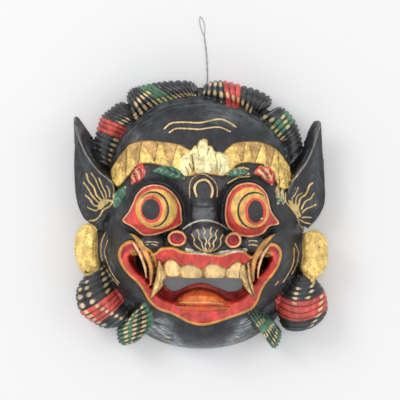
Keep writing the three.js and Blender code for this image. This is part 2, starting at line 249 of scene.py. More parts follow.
BROW_LEAVES = [
    dict(paint="green", spine=[(-45, 43.5), (-36, 44.5), (-26, 41.5), (-15.5, 36.5)], width=5.6),
    dict(paint="red", spine=[(-67, 32), (-63, 38), (-60, 44), (-58, 51)], width=6.6),
    dict(paint="green", spine=[(-85, 8), (-82, 16), (-79, 22), (-75, 28)], width=5.4),
    dict(paint="green", spine=[(27, 39.5), (34, 42), (41, 42.5), (48, 41)], width=4.4),
    dict(paint="red", spine=[(55, 42), (62, 43.5), (68, 39), (72, 31)], width=6.8),
    dict(paint="green", spine=[(77, 29), (78, 23), (78.5, 18), (78, 11)], width=3.2),
    dict(paint="green", spine=[(82, 27), (83, 22), (83.5, 17), (83, 11)], width=2.8),
]
LEAF_CARVING = dict(rise=4.0, rib=0.6, ribs=4, rib_slant=6, midrib_depth=0.8)


def leaf_shape(x, y, leaf):
    """How far in from a leaf's edge a point is, and how far along and across the leaf."""
    distance, place, side = from_line(x, y, leaf["spine"])
    half = leaf["width"] * np.sqrt(np.clip(np.sin(math.pi * np.clip(place, 0.02, 0.98)), 0, 1))
    return half - distance, place, side


def carve_brow_leaves(x, y, z):
    """Leaves of the brow, each ribbed and creased down its middle."""
    for leaf in BROW_LEAVES:
        depth, place, side = leaf_shape(x, y, leaf)
        turns = place * LEAF_CARVING["ribs"] + np.abs(side) / LEAF_CARVING["rib_slant"]
        ribs = LEAF_CARVING["rib"] * np.sin(2 * math.pi * turns)
        midrib = LEAF_CARVING["midrib_depth"] * ease(-np.abs(side), -0.8, 0) * (depth > 0)
        z = z + (LEAF_CARVING["rise"] * ease(depth, -0.6, 2.2) + ribs * ease(depth, 0, 2)) - midrib
    return z


EYE_HOLLOW = dict(depth=5.0, width=9)
EYE_BALL = dict(foot=86, rise=21, radius=29)
EYE_LID = dict(height=93, edge=2.4, width=2.2, step=1.6, under_ball=1.0)
EYE_CORNER = dict(drop=9, starts=24, ends=34)  # the lid's corners turn back from this far out
IRIS_RISE = 1.2


def carve_eye(x, y, z, eye):
    """Bulging ball in a raised lid, with a hollow all round it."""
    depth = depth_inside(x, y, eye["outline"], 2 * EYE_HOLLOW["width"])
    cx, cy = eye["x"], eye["y"]
    z = z - EYE_HOLLOW["depth"] * ease(depth, -EYE_HOLLOW["width"], -1.5) * ease(-depth, -2, 0.5)
    round_top = np.sqrt(np.clip(1 - ((x - cx) ** 2 + (y - cy) ** 2) / EYE_BALL["radius"] ** 2, 0, 1))
    ball = EYE_BALL["foot"] + EYE_BALL["rise"] * round_top
    lid = EYE_LID["height"] + EYE_LID["edge"] * ease(depth, -1.4, 0.4)
    lid = lid - EYE_LID["step"] * ease(depth, 1.2, 2.6)
    corner = ease(np.hypot(x - cx, y - cy), EYE_CORNER["starts"], EYE_CORNER["ends"])
    inside = np.where(depth > EYE_LID["width"], np.maximum(ball, lid - EYE_LID["under_ball"]), lid)
    inside = inside - EYE_CORNER["drop"] * corner
    px, py, iris_width, iris_height = eye["orange"]
    from_iris = np.hypot((x - px) / iris_width, (y - py) / iris_height)
    inside = inside + IRIS_RISE * ease(-from_iris, -1.08, -0.94)
    blend = ease(depth, -1.8, 0.0)
    return z * (1 - blend) + inside * blend


THIRD_EYE = dict(centre=(4, 22), size=(15, 19), foot=84, rise=10)
THIRD_EYE_ARCH = [(-3.5, 18.5), (-5.4, 27), (-2, 33), (4, 35), (9, 32.5), (12.5, 25), (11.3, 18)]
ARCH_RISE = 2.2
THIRD_EYE_DIP = dict(centre=(4.5, 9.5), size=(13, 4), depth=4.5)


def carve_third_eye(x, y, z):
    """Domed boss with a raised arch, over the bridge of the nose."""
    z = swollen(z, bump(x, y, THIRD_EYE["centre"], THIRD_EYE["size"]), THIRD_EYE["foot"], THIRD_EYE["rise"])
    arch = from_line(x, y, THIRD_EYE_ARCH)[0]
    z = z + ARCH_RISE * ease(-arch, -2.4, -0.6)
    return z - THIRD_EYE_DIP["depth"] * bump(x, y, THIRD_EYE_DIP["centre"], THIRD_EYE_DIP["size"])


BRIDGE = dict(line=[(4, 8), (4, 0), (6, -8)], half_width=13, foot=88, rise=9)
NOSE = dict(centre=(7, -21.5), size=(17.5, 15.5), foot=97, rise=18)
NOSTRILS = [dict(centre=(-22.4, -22.7), size=(9.6, 8.0), turn=-0.1),
            dict(centre=(32.8, -24.5), size=(8.3, 7.8), turn=0.2)]
NOSTRIL_RING = dict(foot=94, rise=6)
NOSTRIL_BORE = dict(share=(0.72, 0.68), depth=5.5)  # its share of the ring's size, across and up
PUFFS = [(-47, -27.5), (51.5, -28)]
PUFF = dict(size=(13, 9), foot=84, rise=10)


def half_round(distance, half):
    """1 along a line, falling round to 0 at half a width from it."""
    return np.sqrt(np.clip(1 - (distance / half) ** 2, 0, 1))


def carve_nose(x, y, z):
    """Round bulb, ringed nostrils and a puffed fold beyond each."""
    bridge = from_line(x, y, BRIDGE["line"], 20)[0]
    z = swollen(z, half_round(bridge, BRIDGE["half_width"]), BRIDGE["foot"], BRIDGE["rise"])
    z = swollen(z, bump(x, y, NOSE["centre"], NOSE["size"]), NOSE["foot"], NOSE["rise"])
    for nostril in NOSTRILS:
        centre, turn = nostril["centre"], nostril["turn"]
        bore = [size * share for size, share in zip(nostril["size"], NOSTRIL_BORE["share"])]
        ring = bump(x, y, centre, nostril["size"], turn)
        z = swollen(z, ring, NOSTRIL_RING["foot"], NOSTRIL_RING["rise"])
        z = z - NOSTRIL_BORE["depth"] * ease(bump(x, y, centre, bore, turn), 0, 0.6)
    for puff in PUFFS:
        z = swollen(z, bump(x, y, puff, PUFF["size"]), PUFF["foot"], PUFF["rise"])
    return z


MOUTH_OUTLINE = [
    (-67, -25), (-76, -28), (-81, -36), (-80, -46), (-72.5, -58), (-62, -68), (-56, -77), (-51, -86),
    (-42, -94), (-30, -98), (-20, -103), (-11, -107.5), (2, -110), (16, -107.5), (27, -104),
    (37, -100.5), (44, -98), (53, -93.5), (58, -86), (61, -77), (65, -69), (73, -59), (79, -48),
    (81, -36), (76, -29), (69, -28), (60, -35), (51, -40), (44, -35), (34, -34), (20, -38), (0, -36),
    (-16, -35), (-27, -31), (-38, -32), (-45, -36.8), (-52, -32),
]
GUM_LINE = [
    (-41.5, -43.5), (-36.8, -49.4), (-33, -44.7), (-28, -42.9), (-23.3, -45.3), (-18.7, -50),
    (-11.6, -47.9), (-4, -49.4), (2.5, -53.2), (8.7, -47.6), (15.7, -48.2), (21.6, -50.3),
    (26.9, -52.3), (31, -48.8), (34.5, -45.8), (39.2, -45.8), (43, -48.8), (47.5, -46),
]
THROAT_OUTLINE = [
    (-63, -36), (-72, -42), (-64, -56), (-56, -64), (-48, -76), (-38, -86), (-20, -92), (4, -96),
    (30, -91), (44, -85), (52, -75), (58, -64), (66, -54), (73, -42), (64, -37), (54, -50), (42, -58),
    (4, -58), (-38, -60), (-43, -66), (-49, -65), (-54, -50),
]
TEETH = [
    dict(x=(-34.5, -18.8), y=(-60.3, -42)), dict(x=(-18.8, 3), y=(-62.6, -46)),
    dict(x=(3.8, 24.8), y=(-63, -46)), dict(x=(25, 42), y=(-63, -45)),
]
TEETH_LOW = -61.5
FANGS = [  # spine from gum to tip, and its half-width from gum to tip
    dict(spine=[(-40, -45), (-38.8, -53), (-38, -60), (-39.3, -65), (-42, -70), (-45, -75.5), (-48.6, -82)],
         half=[1.2, 3.2, 5.3, 5.5, 4.2, 2.4, 0.4]),
    dict(spine=[(42.5, -50), (42.5, -60), (45.5, -69), (49.5, -76), (52.3, -80.5)],
         half=[2.4, 3.9, 3.2, 1.9, 0.4]),
    dict(spine=[(47.2, -46.5), (48.5, -60), (51, -70), (54, -79)], half=[1.2, 1.8, 1.7, 0.6]),
]
STRIPS = [  # the carved whisker strips that cross each corner of the mouth
    dict(paint="strip", top=93, half=[0.6, 2.0, 3.3, 3.2, 2.8, 2.4, 2.4, 1.9, 0.8],
         spine=[(-70, -18.2), (-65.5, -20.3), (-61.4, -24.6), (-56.4, -33.2), (-52.4, -40.5),
                (-49.2, -47.7), (-47.9, -55), (-48, -62.3), (-48.8, -68.8)]),
    dict(paint="ivory", top=94.5, half=[0.7, 1.3, 1.5, 1.5, 1.5, 0.9],
         spine=[(-66.6, -26.8), (-63.4, -31.4), (-59.3, -38.6), (-56.1, -45.9), (-53.8, -53.2),
                (-52.9, -61.5)]),
    dict(paint="strip", top=93, half=[0.6, 2.6, 3.0, 2.9, 2.5, 2.0, 0.9],
         spine=[(74.4, -18.6), (68.2, -23), (62.0, -30), (57.0, -37.5), (53.6, -45), (52.4, -54),
                (52.8, -65)]),
    dict(paint="ivory", top=94.5, half=[0.7, 1.2, 1.4, 1.4, 1.3, 0.8],
         spine=[(70.6, -27), (65.8, -33.5), (62, -39.6), (59.5, -46), (57.6, -53), (56.8, -61.7)]),
]
BACK_TEETH = [(-64.6, -37), (67.3, -38.9)]
MOUTH_PITS = [[(-63.5, -42), (-59, -41), (-55, -47), (-54.5, -54), (-58, -56), (-62.5, -50)],
              [(61, -43), (66.5, -42), (67.5, -48), (64.5, -53), (60, -53), (58.5, -48)]]
# Painted shade in the mouth's corners, in maroon and deep red, and one patch of strip colour between the
# left strip and its fang: paint and outline.
MOUTH_SHADE_AND_FILL = [("maroon", [(-78.4, -42), (-77.6, -35.5), (-73, -30.8), (-66.8, -28.4), (-63, -30.4),
                            (-68, -32.8), (-73.6, -36), (-76, -42)]),
                ("deep_red", [(-72, -46), (-65, -44), (-61, -54), (-56, -58), (-62, -60), (-70, -54)]),
                ("maroon", [(79, -42), (78, -36), (74, -31.6), (69, -30.8), (66.6, -33), (71, -34.4),
                            (75, -37.4), (76.4, -42)]),
                ("strip", [(-48, -39), (-44.6, -39.5), (-42.6, -46), (-43.4, -56), (-46, -63), (-48.6, -66),
                           (-49, -54)]),
                ("deep_red", [(75, -45), (69, -44), (65, -54), (60, -58), (66, -60), (73, -54)]),
                ("deep_red", [(-54.5, -33), (-50, -34), (-49, -39), (-51.5, -38)])]
TONGUE = [
    (-25, -87), (-16, -76.5), (0, -72.5), (16, -76.5), (26, -84), (32, -93), (20, -99), (2, -101),
    (-14, -97),
]


def tapering(x, y, form):
    """Distance from a form's spine, how far along it that is, and the form's half-width there."""
    distance, place, _ = from_line(x, y, form["spine"])
    return distance, place, np.interp(place, np.linspace(0, 1, len(form["half"])), form["half"])


def gum_depth(x, y):
    """How far above the scalloped gum line a point is; negative below it."""
    line = smooth_curve(GUM_LINE, steps=8)
    return y - np.interp(x, line[:, 0], line[:, 1])


TONGUE_CREASE = [(-24, -88), (-6, -89.5), (12, -89.5), (30, -92)]
LIPS = dict(rise=6.5, step=1.6, sink=5, least=4)  # the rim, the step inside it and the dip within
THROAT = dict(depth=22, shallower=6, slope=4, gentler=8)  # shallower and gentler towards the chin
BLADE = dict(below=11, rise=8, back_drop=5, crease=0.8)  # the tongue, measured from the muzzle


def carve_mouth(x, y, z):
    """Rimmed lips, throat and tongue."""
    depth = depth_inside(x, y, MOUTH_OUTLINE)
    muzzle = face_height(x, y)
    lip = muzzle + LIPS["rise"] * ease(depth, -0.6, 1.4) - LIPS["step"] * ease(depth, 3.0, 4.4)
    lip = lip - LIPS["sink"] * ease(depth, 4.0, 16)
    z = np.where(depth > -0.6, np.maximum(lip, muzzle - LIPS["least"]), z)
    throat = depth_inside(x, y, THROAT_OUTLINE)
    low_side = ease(-y, 76, 92)
    width = THROAT["slope"] + THROAT["gentler"] * low_side
    z = z - (THROAT["depth"] - THROAT["shallower"] * low_side) * ease(throat, 0, width) * (throat > 0)
    tongue = depth_inside(x, y, TONGUE)
    crease = from_line(x, y, TONGUE_CREASE)[0]
    blade = muzzle - BLADE["below"] + BLADE["rise"] * ease(tongue, 0, 9)
    blade = blade - BLADE["back_drop"] * ease(y, -84, -72) - BLADE["crease"] * ease(-crease, -1.6, 0)
    return np.where(tongue > 0, np.maximum(z, blade), z)


TOOTH = dict(foot=98, rise=4.5)
JAW = dict(left=-36, right=43, top=-42, height=95.0, middle=4, bend=0.05, span=12)
PIT_DEPTH = 7
FANG = dict(foot=96, rise=5, droop=7)  # each fang droops towards its tip
STRIP = dict(rise=3, drop=16)  # each strip drops towards its first end
BACK_TOOTH = dict(size=(5.5, 3.6), turn=0.3, foot=72, rise=5)


def tooth_height(x, y, tooth):
    """Height of a tooth's rounded front, and how far in from its side a point is."""
    half = (tooth["x"][1] - tooth["x"][0]) / 2, (tooth["y"][1] - tooth["y"][0]) / 2
    centre = (tooth["x"][0] + half[0], tooth["y"][0] + half[1])
    u, v = (x - centre[0]) / half[0], (y - centre[1]) / half[1]
    block = np.clip(1 - np.abs(u) ** 3 - np.abs(v) ** 4, 0, 1)
    jaw_bend = JAW["bend"] * (x - JAW["middle"]) ** 2 / JAW["span"]
    return TOOTH["foot"] + TOOTH["rise"] * np.sqrt(block) - jaw_bend, block


def carve_teeth(x, y, z):
    """Upper teeth under the gum, a fang at each end, and the strips that cross the mouth's corners."""
    row = (x > JAW["left"]) & (x < JAW["right"]) & (y > TEETH_LOW) & (y < JAW["top"])
    z = np.where(row & (gum_depth(x, y) < 0), JAW["height"], z)
    for tooth in TEETH:
        height, block = tooth_height(x, y, tooth)
        z = np.where((block > 0) & (gum_depth(x, y) < 0.3), np.maximum(z, height), z)
    for pit in MOUTH_PITS:
        z = z - PIT_DEPTH * ease(depth_inside(x, y, pit), -0.5, 2.5)
    for fang in FANGS:
        distance, place, half = tapering(x, y, fang)
        z = swollen(z, half_round(distance, half), FANG["foot"] - FANG["droop"] * place**2, FANG["rise"])
    for strip in STRIPS:
        distance, place, half = tapering(x, y, strip)
        foot = strip["top"] - STRIP["rise"] - STRIP["drop"] * (1 - place) ** 2
        z = swollen(z, half_round(distance, half), foot, STRIP["rise"])
    for centre in BACK_TEETH:
        crown = bump(x, y, centre, BACK_TOOTH["size"], BACK_TOOTH["turn"])
        z = swollen(z, crown, BACK_TOOTH["foot"], BACK_TOOTH["rise"])
    return z


CHEEK_GROOVES = [[(-97, 0), (-101, -22), (-99, -44), (-93, -62), (-82, -76), (-66, -88)],
                 [(99, -4), (103, -30), (100, -50), (94, -66), (82, -80), (68, -90), (62, -98)]]
CHEEK_GROOVE = dict(depth=5, half_width=5)


def carve_cheeks(x, y, z):
    """A groove where each cheek turns back towards the ear and the hair."""
    for line in CHEEK_GROOVES:
        distance = from_line(x, y, line, 20)[0]
        z = z - CHEEK_GROOVE["depth"] * ease(-distance, -CHEEK_GROOVE["half_width"], 0)
    return z


def face_relief(x, y):
    """The whole carved face, as a height over each place."""
    z = face_height(x, y)
    z = lower_hair_bed(x, y, z)
    z = carve_cheeks(x, y, z)
    z = carve_headband(x, y, z)
    z = carve_brow_leaves(x, y, z)
    for eye in EYES:
        z = carve_eye(x, y, z, eye)
    z = carve_third_eye(x, y, z)
    z = carve_mouth(x, y, z)
    z = carve_nose(x, y, z)
    return carve_teeth(x, y, z)


# ---- Meshes --------------------------------------------------------------------------------

def coordinates(mesh):
    flat = np.empty(len(mesh.vertices) * 3)
    mesh.vertices.foreach_get("co", flat)
    return flat.reshape(-1, 3)


def set_coordinates(mesh, points):
    mesh.vertices.foreach_set("co", np.ascontiguousarray(points, dtype=float).ravel())
    mesh.update()


def new_object(name, shape):
    mesh = bpy.data.meshes.new(name)
    shape.to_mesh(mesh)
    shape.free()
    made = bpy.data.objects.new(name, mesh)
    bpy.context.scene.collection.objects.link(made)
    return made


def apply_modifier(made, kind, **settings):
    """Runs one modifier and keeps its result as the object's own mesh."""
    modifier = made.modifiers.new(kind.title(), kind)
    for setting, value in settings.items():
        setattr(modifier, setting, value)
    result = bpy.data.meshes.new_from_object(made.evaluated_get(bpy.context.evaluated_depsgraph_get()))
    made.modifiers.clear()
    made.data = result
    return made


def face_outwards(made, closed=True):
    """Turns every face outwards, after filling the opening of a shape that isn't closed."""
    shape = bmesh.new()
    shape.from_mesh(made.data)
    if not closed:
        bmesh.ops.holes_fill(shape, edges=[edge for edge in shape.edges if edge.is_boundary])
    bmesh.ops.recalc_face_normals(shape, faces=shape.faces)
    shape.to_mesh(made.data)
    shape.free()
    return made


SKIRT_Z = -10.0  # the face block runs on below the floor, and is cut off level later
LOWEST_RELIEF = -2


def face_block():
    """The front of the head: a grid drawn out to the head's outline and raised to the carved relief."""
    shape = bmesh.new()
    bmesh.ops.create_grid(shape, x_segments=FACE_GRID, y_segments=FACE_GRID, size=1)
    rim = [edge for edge in shape.edges if edge.is_boundary]
    bmesh.ops.extrude_edge_only(shape, edges=rim)
    made = new_object("face_block", shape)
    points = coordinates(made.data)
    skirt = np.arange(len(points)) >= (FACE_GRID + 1) ** 2
    a, b = points[:, 0], points[:, 1]
    u, v = a * np.sqrt(1 - b * b / 2), b * np.sqrt(1 - a * a / 2)
    power = FACE["squareness"]
    square = np.hypot(u, v) / np.maximum((np.abs(u) ** power + np.abs(v) ** power) ** (1 / power), 1e-9)
    x, y = FACE["x"] + FACE["half_width"] * u * square, FACE["y"] + FACE["half_height"] * v * square
    z = np.where(skirt, SKIRT_Z, np.maximum(face_relief(x, y), LOWEST_RELIEF))
    set_coordinates(made.data, np.column_stack([x, y, z]))
    return face_outwards(made, closed=False)


def tube(name, steps, sides, place):
    """A closed tube whose points are put in place by how far along it (0 to 1) and round it they are."""
    shape = bmesh.new()
    bmesh.ops.create_cone(shape, cap_ends=True, segments=sides, radius1=1, radius2=1, depth=1)
    upright = [edge for edge in shape.edges if abs(edge.verts[0].co.z - edge.verts[1].co.z) > 0.5]
    bmesh.ops.subdivide_edges(shape, edges=upright, cuts=steps - 1)
    made = new_object(name, shape)
    points = coordinates(made.data)
    set_coordinates(made.data, place(points[:, 2] + 0.5, np.arctan2(points[:, 1], points[:, 0])))
    return face_outwards(made)


def along_curve(points, t, steps=12):
    """Places on a smooth curve at the given fractions of its points."""
    curve = smooth_curve(points, steps=steps)
    at = np.linspace(0, 1, len(curve))
    return np.column_stack([np.interp(t, at, column) for column in curve.T])


# ---- Hair: ridged rolls round the head -----------------------------------------------------

# Each roll lies between its outer and inner lines, and is cut into ridges that run across it, which
# bow by so much of a ridge. Its middle stands at a height, and it rises and falls by its rise.
# Ridges are counted from the first end: red and green are the painted bands, from ridge to ridge,
# and a row of dabs goes from (ridge, place across) to (ridge, place across). A dab is 2 mm long
# either way unless the roll says otherwise. Fine ridges are cut shallower, and a worn band is left
# mostly on the ridges' crests.
ROLLS = [
    dict(name="hair_top_a", ridges=15, bow=0.0, middle=24, rise=22,
         outer=[(-79, 117), (-91, 107), (-100, 99), (-104.5, 85), (-106, 70), (-100, 52)],
         inner=[(-60, 101), (-66, 95), (-74, 88), (-82, 77), (-88.5, 62), (-91, 47)],
         red=(5.9, 9.0), green=None,
         rows=[((1, 0.9), (5, 0.75)), ((9, 0.95), (13, 0.97))]),
    dict(name="hair_top_b", ridges=17, bow=0.0, middle=25, rise=21,
         outer=[(-76, 120), (-69.7, 127), (-61, 130), (-47, 133), (-31, 135), (-11, 135), (-2.5, 131)],
         inner=[(-66, 95), (-52, 107.4), (-38, 113.8), (-24, 117.6), (-13, 119.6), (-6, 120),
                (-2.4, 119.3)],
         red=None, green=(5.0, 8.0),
         rows=[((0, 0.9), (16, 0.93)), ((1.5, 0.6), (5, 0.45))]),
    dict(name="hair_top_c", ridges=14, bow=0.0, middle=25, rise=22,
         outer=[(3, 132.4), (14.8, 135), (26.2, 135), (41.8, 130.7), (57, 126.5), (70.4, 119), (74, 112)],
         inner=[(0.5, 118), (13, 115.6), (30.4, 109.7), (40, 109), (50, 104), (57, 102), (58.6, 101.3)],
         red=(4.0, 7.0), green=None,
         rows=[((0, 0.65), (3.5, 0.65)), ((4, 0.6), (9, 0.95)), ((0.6, 0.15), (3, 0.2))]),
    dict(name="hair_top_d", ridges=11, bow=0.0, middle=24, rise=22,
         outer=[(79.6, 110.5), (86.4, 106.3), (93, 99.6), (98.2, 90.3), (101, 82), (103, 74), (101.5, 60)],
         inner=[(58.6, 99.6), (69.5, 89.5), (76.3, 83), (82, 76), (85.5, 72.7), (86, 62), (90.6, 45)],
         red=None, green=(1.8, 4.6),
         rows=[((0, 0.85), (1.6, 0.7)), ((2, 0.35), (4, 0.45)), ((2, 0.93), (6, 0.95))]),
    dict(name="hair_left_large", dab=1.5, fine=True, ridges=12, bow=0.4, middle=27, rise=24,
         outer=[(-114, -58), (-122, -70), (-125, -82), (-121, -97.6), (-113, -105), (-105, -110),
                (-96, -114), (-84, -114)],
         inner=[(-97, -49), (-93, -57), (-89, -66), (-86, -75), (-81, -82), (-77, -87.5), (-72, -94),
                (-69, -103)],
         red=(5.1, 8.5), green=None,
         rows=[((1, 0.3), (10, 0.62)), ((2.5, 0.12), (6, 0.14)), ((0.5, 0.86), (4.5, 0.84)),
                                          ((6, 0.10), (9, 0.12))]),
    dict(name="hair_left_small", dab=1.7, worn=True, ridges=8, bow=0.0, middle=26, rise=20,
         outer=[(-70.3, -101.7), (-76.6, -107.4), (-83.5, -115), (-83.5, -121.8), (-81.8, -128.6),
                (-77, -132)],
         inner=[(-57, -87.3), (-52, -96), (-49.6, -103.4), (-50.2, -110.8), (-54.2, -118.3), (-63, -128)],
         red=None, green=(0.0, 8.0),
         rows=[((0.5, 0.25), (7, 0.3)), ((0.5, 0.52), (7, 0.55)), ((0.5, 0.82), (6, 0.8))]),
    dict(name="hair_right_large", dab=1.5, fine=True, ridges=12, bow=1.5, middle=27, rise=24,
         outer=[(97, -57), (88, -70), (81.2, -81), (79.4, -91.2), (80, -105), (84.8, -114), (93, -118)],
         inner=[(112, -60), (119, -67.6), (125, -76), (128, -86), (128, -97), (122, -107), (111, -115)],
         red=(3.9, 7.4), green=None,
         rows=[((1, 0.35), (4.6, 0.3)), ((1.5, 0.75), (3, 0.6)), ((3.8, 0.9), (11, 0.7))]),
    dict(name="hair_right_small", dab=1.7, worn=True, ridges=7, bow=0.0, middle=26, rise=20,
         outer=[(49, -101), (54, -98), (59, -98), (65, -100), (71, -103)],
         inner=[(73, -135), (77, -134), (80.5, -128), (82, -122), (82.5, -117)],
         red=None, green=(0.0, 7.0),
         rows=[((0, 0.3), (3, 0.22)), ((0.5, 0.62), (5, 0.45)), ((1, 0.85), (5, 0.72))]),
]
HAIR = dict(steps=60, sides=40, squareness=0.85, end_bluntness=16, least_end=0.04)
DAB_HALF_LENGTH = 2.0
DAB_SHARE = 0.27  # a dab's half-width, as a share of its ridge
OFF_ROLL = -9.0  # stands for a ridge's number where there is no roll


def hair_roll(roll):
    """A fat roll between its two edges, rounded over its ends."""
    def place(t, angle):
        outer, inner = along_curve(roll["outer"], t), along_curve(roll["inner"], t)
        middle, half = (outer + inner) / 2, (outer - inner) / 2
        left = 1 - np.abs(2 * t - 1) ** HAIR["end_bluntness"]
        end = np.sqrt(np.clip(left, HAIR["least_end"], 1))[:, None]
        out = np.sign(np.cos(angle)) * np.abs(np.cos(angle)) ** HAIR["squareness"]
        flat = middle + half * out[:, None] * end
        height = roll["middle"] + roll["rise"] * np.sin(angle) * end[:, 0]
        return np.column_stack([flat, height])
    return tube(roll["name"], HAIR["steps"], HAIR["sides"], place)


def roll_place(x, y, roll):
    """Which ridge a point is on, counted with fractions, and how far across the roll (0 outer, 1 inner)."""
    count = roll["ridges"]
    t = np.linspace(0, 1, count + 1)
    outer, inner = along_curve(roll["outer"], t), along_curve(roll["inner"], t)
    close = near_box(x, y, np.vstack([outer, inner]), 8)
    ridge, across = np.full(x.shape, OFF_ROLL), np.full(x.shape, OFF_ROLL)
    px, py = x[close], y[close]
    beyond = []
    for start, end in zip(outer, inner):
        run = (end - start) / np.linalg.norm(end - start)
        beyond.append((px - start[0]) * run[1] - (py - start[1]) * run[0])
    beyond = np.array(beyond)
    if beyond[:, 0].size and np.mean(beyond[0]) < np.mean(beyond[-1]):
        beyond = -beyond
    number = np.zeros(px.shape)
    for here, following in zip(beyond[:-1], beyond[1:]):
        number += np.clip(here / np.maximum(here - following, 1e-6), 0, 1)
    at = number / count
    o, i = along_curve(roll["outer"], at), along_curve(roll["inner"], at)
    span = i - o
    v = ((px - o[:, 0]) * span[:, 0] + (py - o[:, 1]) * span[:, 1]) / (span**2).sum(1)
    off_roll = depth_inside(px, py, np.vstack([roll["outer"], roll["inner"][::-1]]), 8) < -3
    ridge[close] = np.where(off_roll, OFF_ROLL, number - roll["bow"] * 4 * v * (1 - v))
    across[close] = v
    return ridge, across


# ---- Ears and earrings ---------------------------------------------------------------------

# Each ear is drawn over four lines from its base to its tip: behind the rim, along the rim,
# down the bowl and along the outer edge.
EARS = {
    "ear_left": [
        [(-84, 6, 20), (-88, 32, 22), (-97, 55, 26), (-107, 76, 28), (-115.5, 89, 32), (-122.8, 98.8, 38)],
        [(-82, 14, 48), (-88, 33, 55), (-100, 43, 57), (-110.5, 55, 56), (-119, 72, 51), (-126, 99, 43)],
        [(-96, -6, 42), (-102, 12, 44), (-110, 28, 43), (-117, 45, 41), (-123, 68, 40), (-126.5, 97, 42)],
        [(-108, -10, 36), (-118, -2, 36), (-125, 18, 35), (-127, 45, 35), (-126.5, 72, 36), (-127, 96, 41)],
    ],
    "ear_right": [
        [(88, 4, 20), (90, 30, 22), (97, 52, 26), (105, 73, 28), (109, 85, 32), (114.5, 94.5, 38)],
        [(85, 12, 48), (88, 26, 55), (98, 43, 57), (106, 53, 56), (113, 68, 51), (120, 95, 43)],
        [(98, -8, 42), (103, 10, 44), (110, 26, 43), (117, 44, 41), (120, 68, 40), (121.3, 93, 42)],
        [(109, -14, 36), (120, -1, 36), (126, 15, 35), (125.5, 42, 35), (123.5, 68, 36), (121.5, 92, 41)],
    ],
}
EAR_THICKNESS = 7.0
TIP_THINNING = 0.4  # the share of its thickness that an ear loses towards its tip
EAR_GRID = dict(across=48, along=90)


def ear_surface(lines, across, t):
    """The ear's front, at fractions across it and towards its tip."""
    drawn = np.array([along_curve(line, t) for line in lines])
    at = across * (len(lines) - 1)
    first = np.clip(at.astype(int), 0, len(lines) - 2)
    index = np.arange(len(t))
    low, high = drawn[first, index], drawn[first + 1, index]
    part = (at - first)[:, None]
    return low + (high - low) * (part * part * (3 - 2 * part) * 0.5 + part * 0.5)


def ear(name, lines):
    """A pointed leaf with a raised rim and a hollowed bowl, thinner towards its tip."""
    shape = bmesh.new()
    bmesh.ops.create_grid(shape, x_segments=EAR_GRID["across"], y_segments=EAR_GRID["along"], size=1)
    bmesh.ops.solidify(shape, geom=shape.faces[:], thickness=1)
    made = new_object(name, shape)
    points = coordinates(made.data)
    across, t = (np.clip((points[:, i] + 1) / 2, 0, 1) for i in (0, 1))
    behind = np.abs(points[:, 2]) > 0.5
    step = 0.01
    right, left = np.clip(across + step, 0, 1), np.clip(across - step, 0, 1)
    further, nearer = np.clip(t + step, 0, 1), np.clip(t - step, 0, 1)
    over = ear_surface(lines, right, t) - ear_surface(lines, left, t)
    along = ear_surface(lines, across, further) - ear_surface(lines, across, nearer)
    facing = np.cross(over, along)
    facing *= np.sign(facing[:, 2].mean()) / np.maximum(np.linalg.norm(facing, axis=1), 1e-9)[:, None]
    facing += (np.array([0, 0, 1]) - facing) * ease(t, 0.75, 0.95)[:, None]
    thickness = EAR_THICKNESS * (1 - TIP_THINNING * ease(t, 0.7, 1)) * behind
    set_coordinates(made.data, ear_surface(lines, across, t) - facing * thickness[:, None])
    return face_outwards(made)


EARRING_FLATNESS = dict(side=0.6, front=0.7)  # below 1 is squarer than a ball
EARRINGS = [  # outline of each gilt earring, the height of its middle, and half its thickness
    dict(outline=[(-113.7, -9), (-107, -11.5), (-103.6, -18), (-103.6, -40), (-100.8, -52), (-107, -56.5),
                  (-114.5, -60), (-121, -53.5), (-124.6, -44), (-126, -35), (-125.5, -23), (-121, -13)],
         middle=36, rise=15),
    dict(outline=[(104, -20.5), (109, -17), (116, -15), (124, -20), (128, -30.5), (128.2, -48),
                  (122.5, -59), (116, -64), (113.5, -68.7), (110.5, -63.5), (104.6, -59),
                  (101.6, -53.6), (103.5, -44)],
         middle=36, rise=15),
]
# The lobe of the ear behind each earring: centre and half-sizes.
EARRING_STEMS = [
    ((-100, -34, 26), (12, 20, 14)), ((-101, -9, 30), (9, 10, 13)), ((102, -38, 26), (12, 20, 14)),
]
EARRING_CREASES = [
    [(-113.6, -41.8), (-104, -41)], [(-113, -34.5), (-105, -33.4)], [(-112, -24), (-104, -27)],
    [(105.5, -37), (115, -38)], [(104.5, -42.2), (115, -44)], [(118, -27), (121, -36), (119, -45)],
]


def ball(name):
    shape = bmesh.new()
    bmesh.ops.create_icosphere(shape, subdivisions=5, radius=1)
    return new_object(name, shape)


def earring_stem(name, centre, size):
    """The lobe of the ear behind an earring."""
    made = ball(name)
    set_coordinates(made.data, coordinates(made.data) * size + centre)
    return made


def earring(name, outline, middle, rise):
    """A fat gilt lump with a flat front, drawn out to its outline."""
    made = ball(name)
    points = coordinates(made.data)
    line = smooth_curve(outline, True)
    centre = line.mean(0)
    angles = np.arctan2(*(line - centre).T[::-1])
    order = np.argsort(angles)
    reaches = np.hypot(*(line - centre).T)[order]
    angle = np.arctan2(points[:, 1], points[:, 0])
    edge = np.interp(angle, angles[order], reaches, period=2 * math.pi)
    out = edge * np.hypot(points[:, 0], points[:, 1]) ** EARRING_FLATNESS["side"]
    height = middle + rise * np.sign(points[:, 2]) * np.abs(points[:, 2]) ** EARRING_FLATNESS["front"]
    x, y = centre[0] + out * np.cos(angle), centre[1] + out * np.sin(angle)
    set_coordinates(made.data, np.column_stack([x, y, height]))
    return made


# ---- One block -----------------------------------------------------------------------------

def joined(name, parts):
    """One mesh of many, which takes their place."""
    shape = bmesh.new()
    for part in parts:
        shape.from_mesh(part.data)
        bpy.data.objects.remove(part)
    return new_object(name, shape)


def normals(mesh):
    flat = np.empty(len(mesh.vertices) * 3)
    mesh.vertices.foreach_get("normal", flat)
    return flat.reshape(-1, 3)


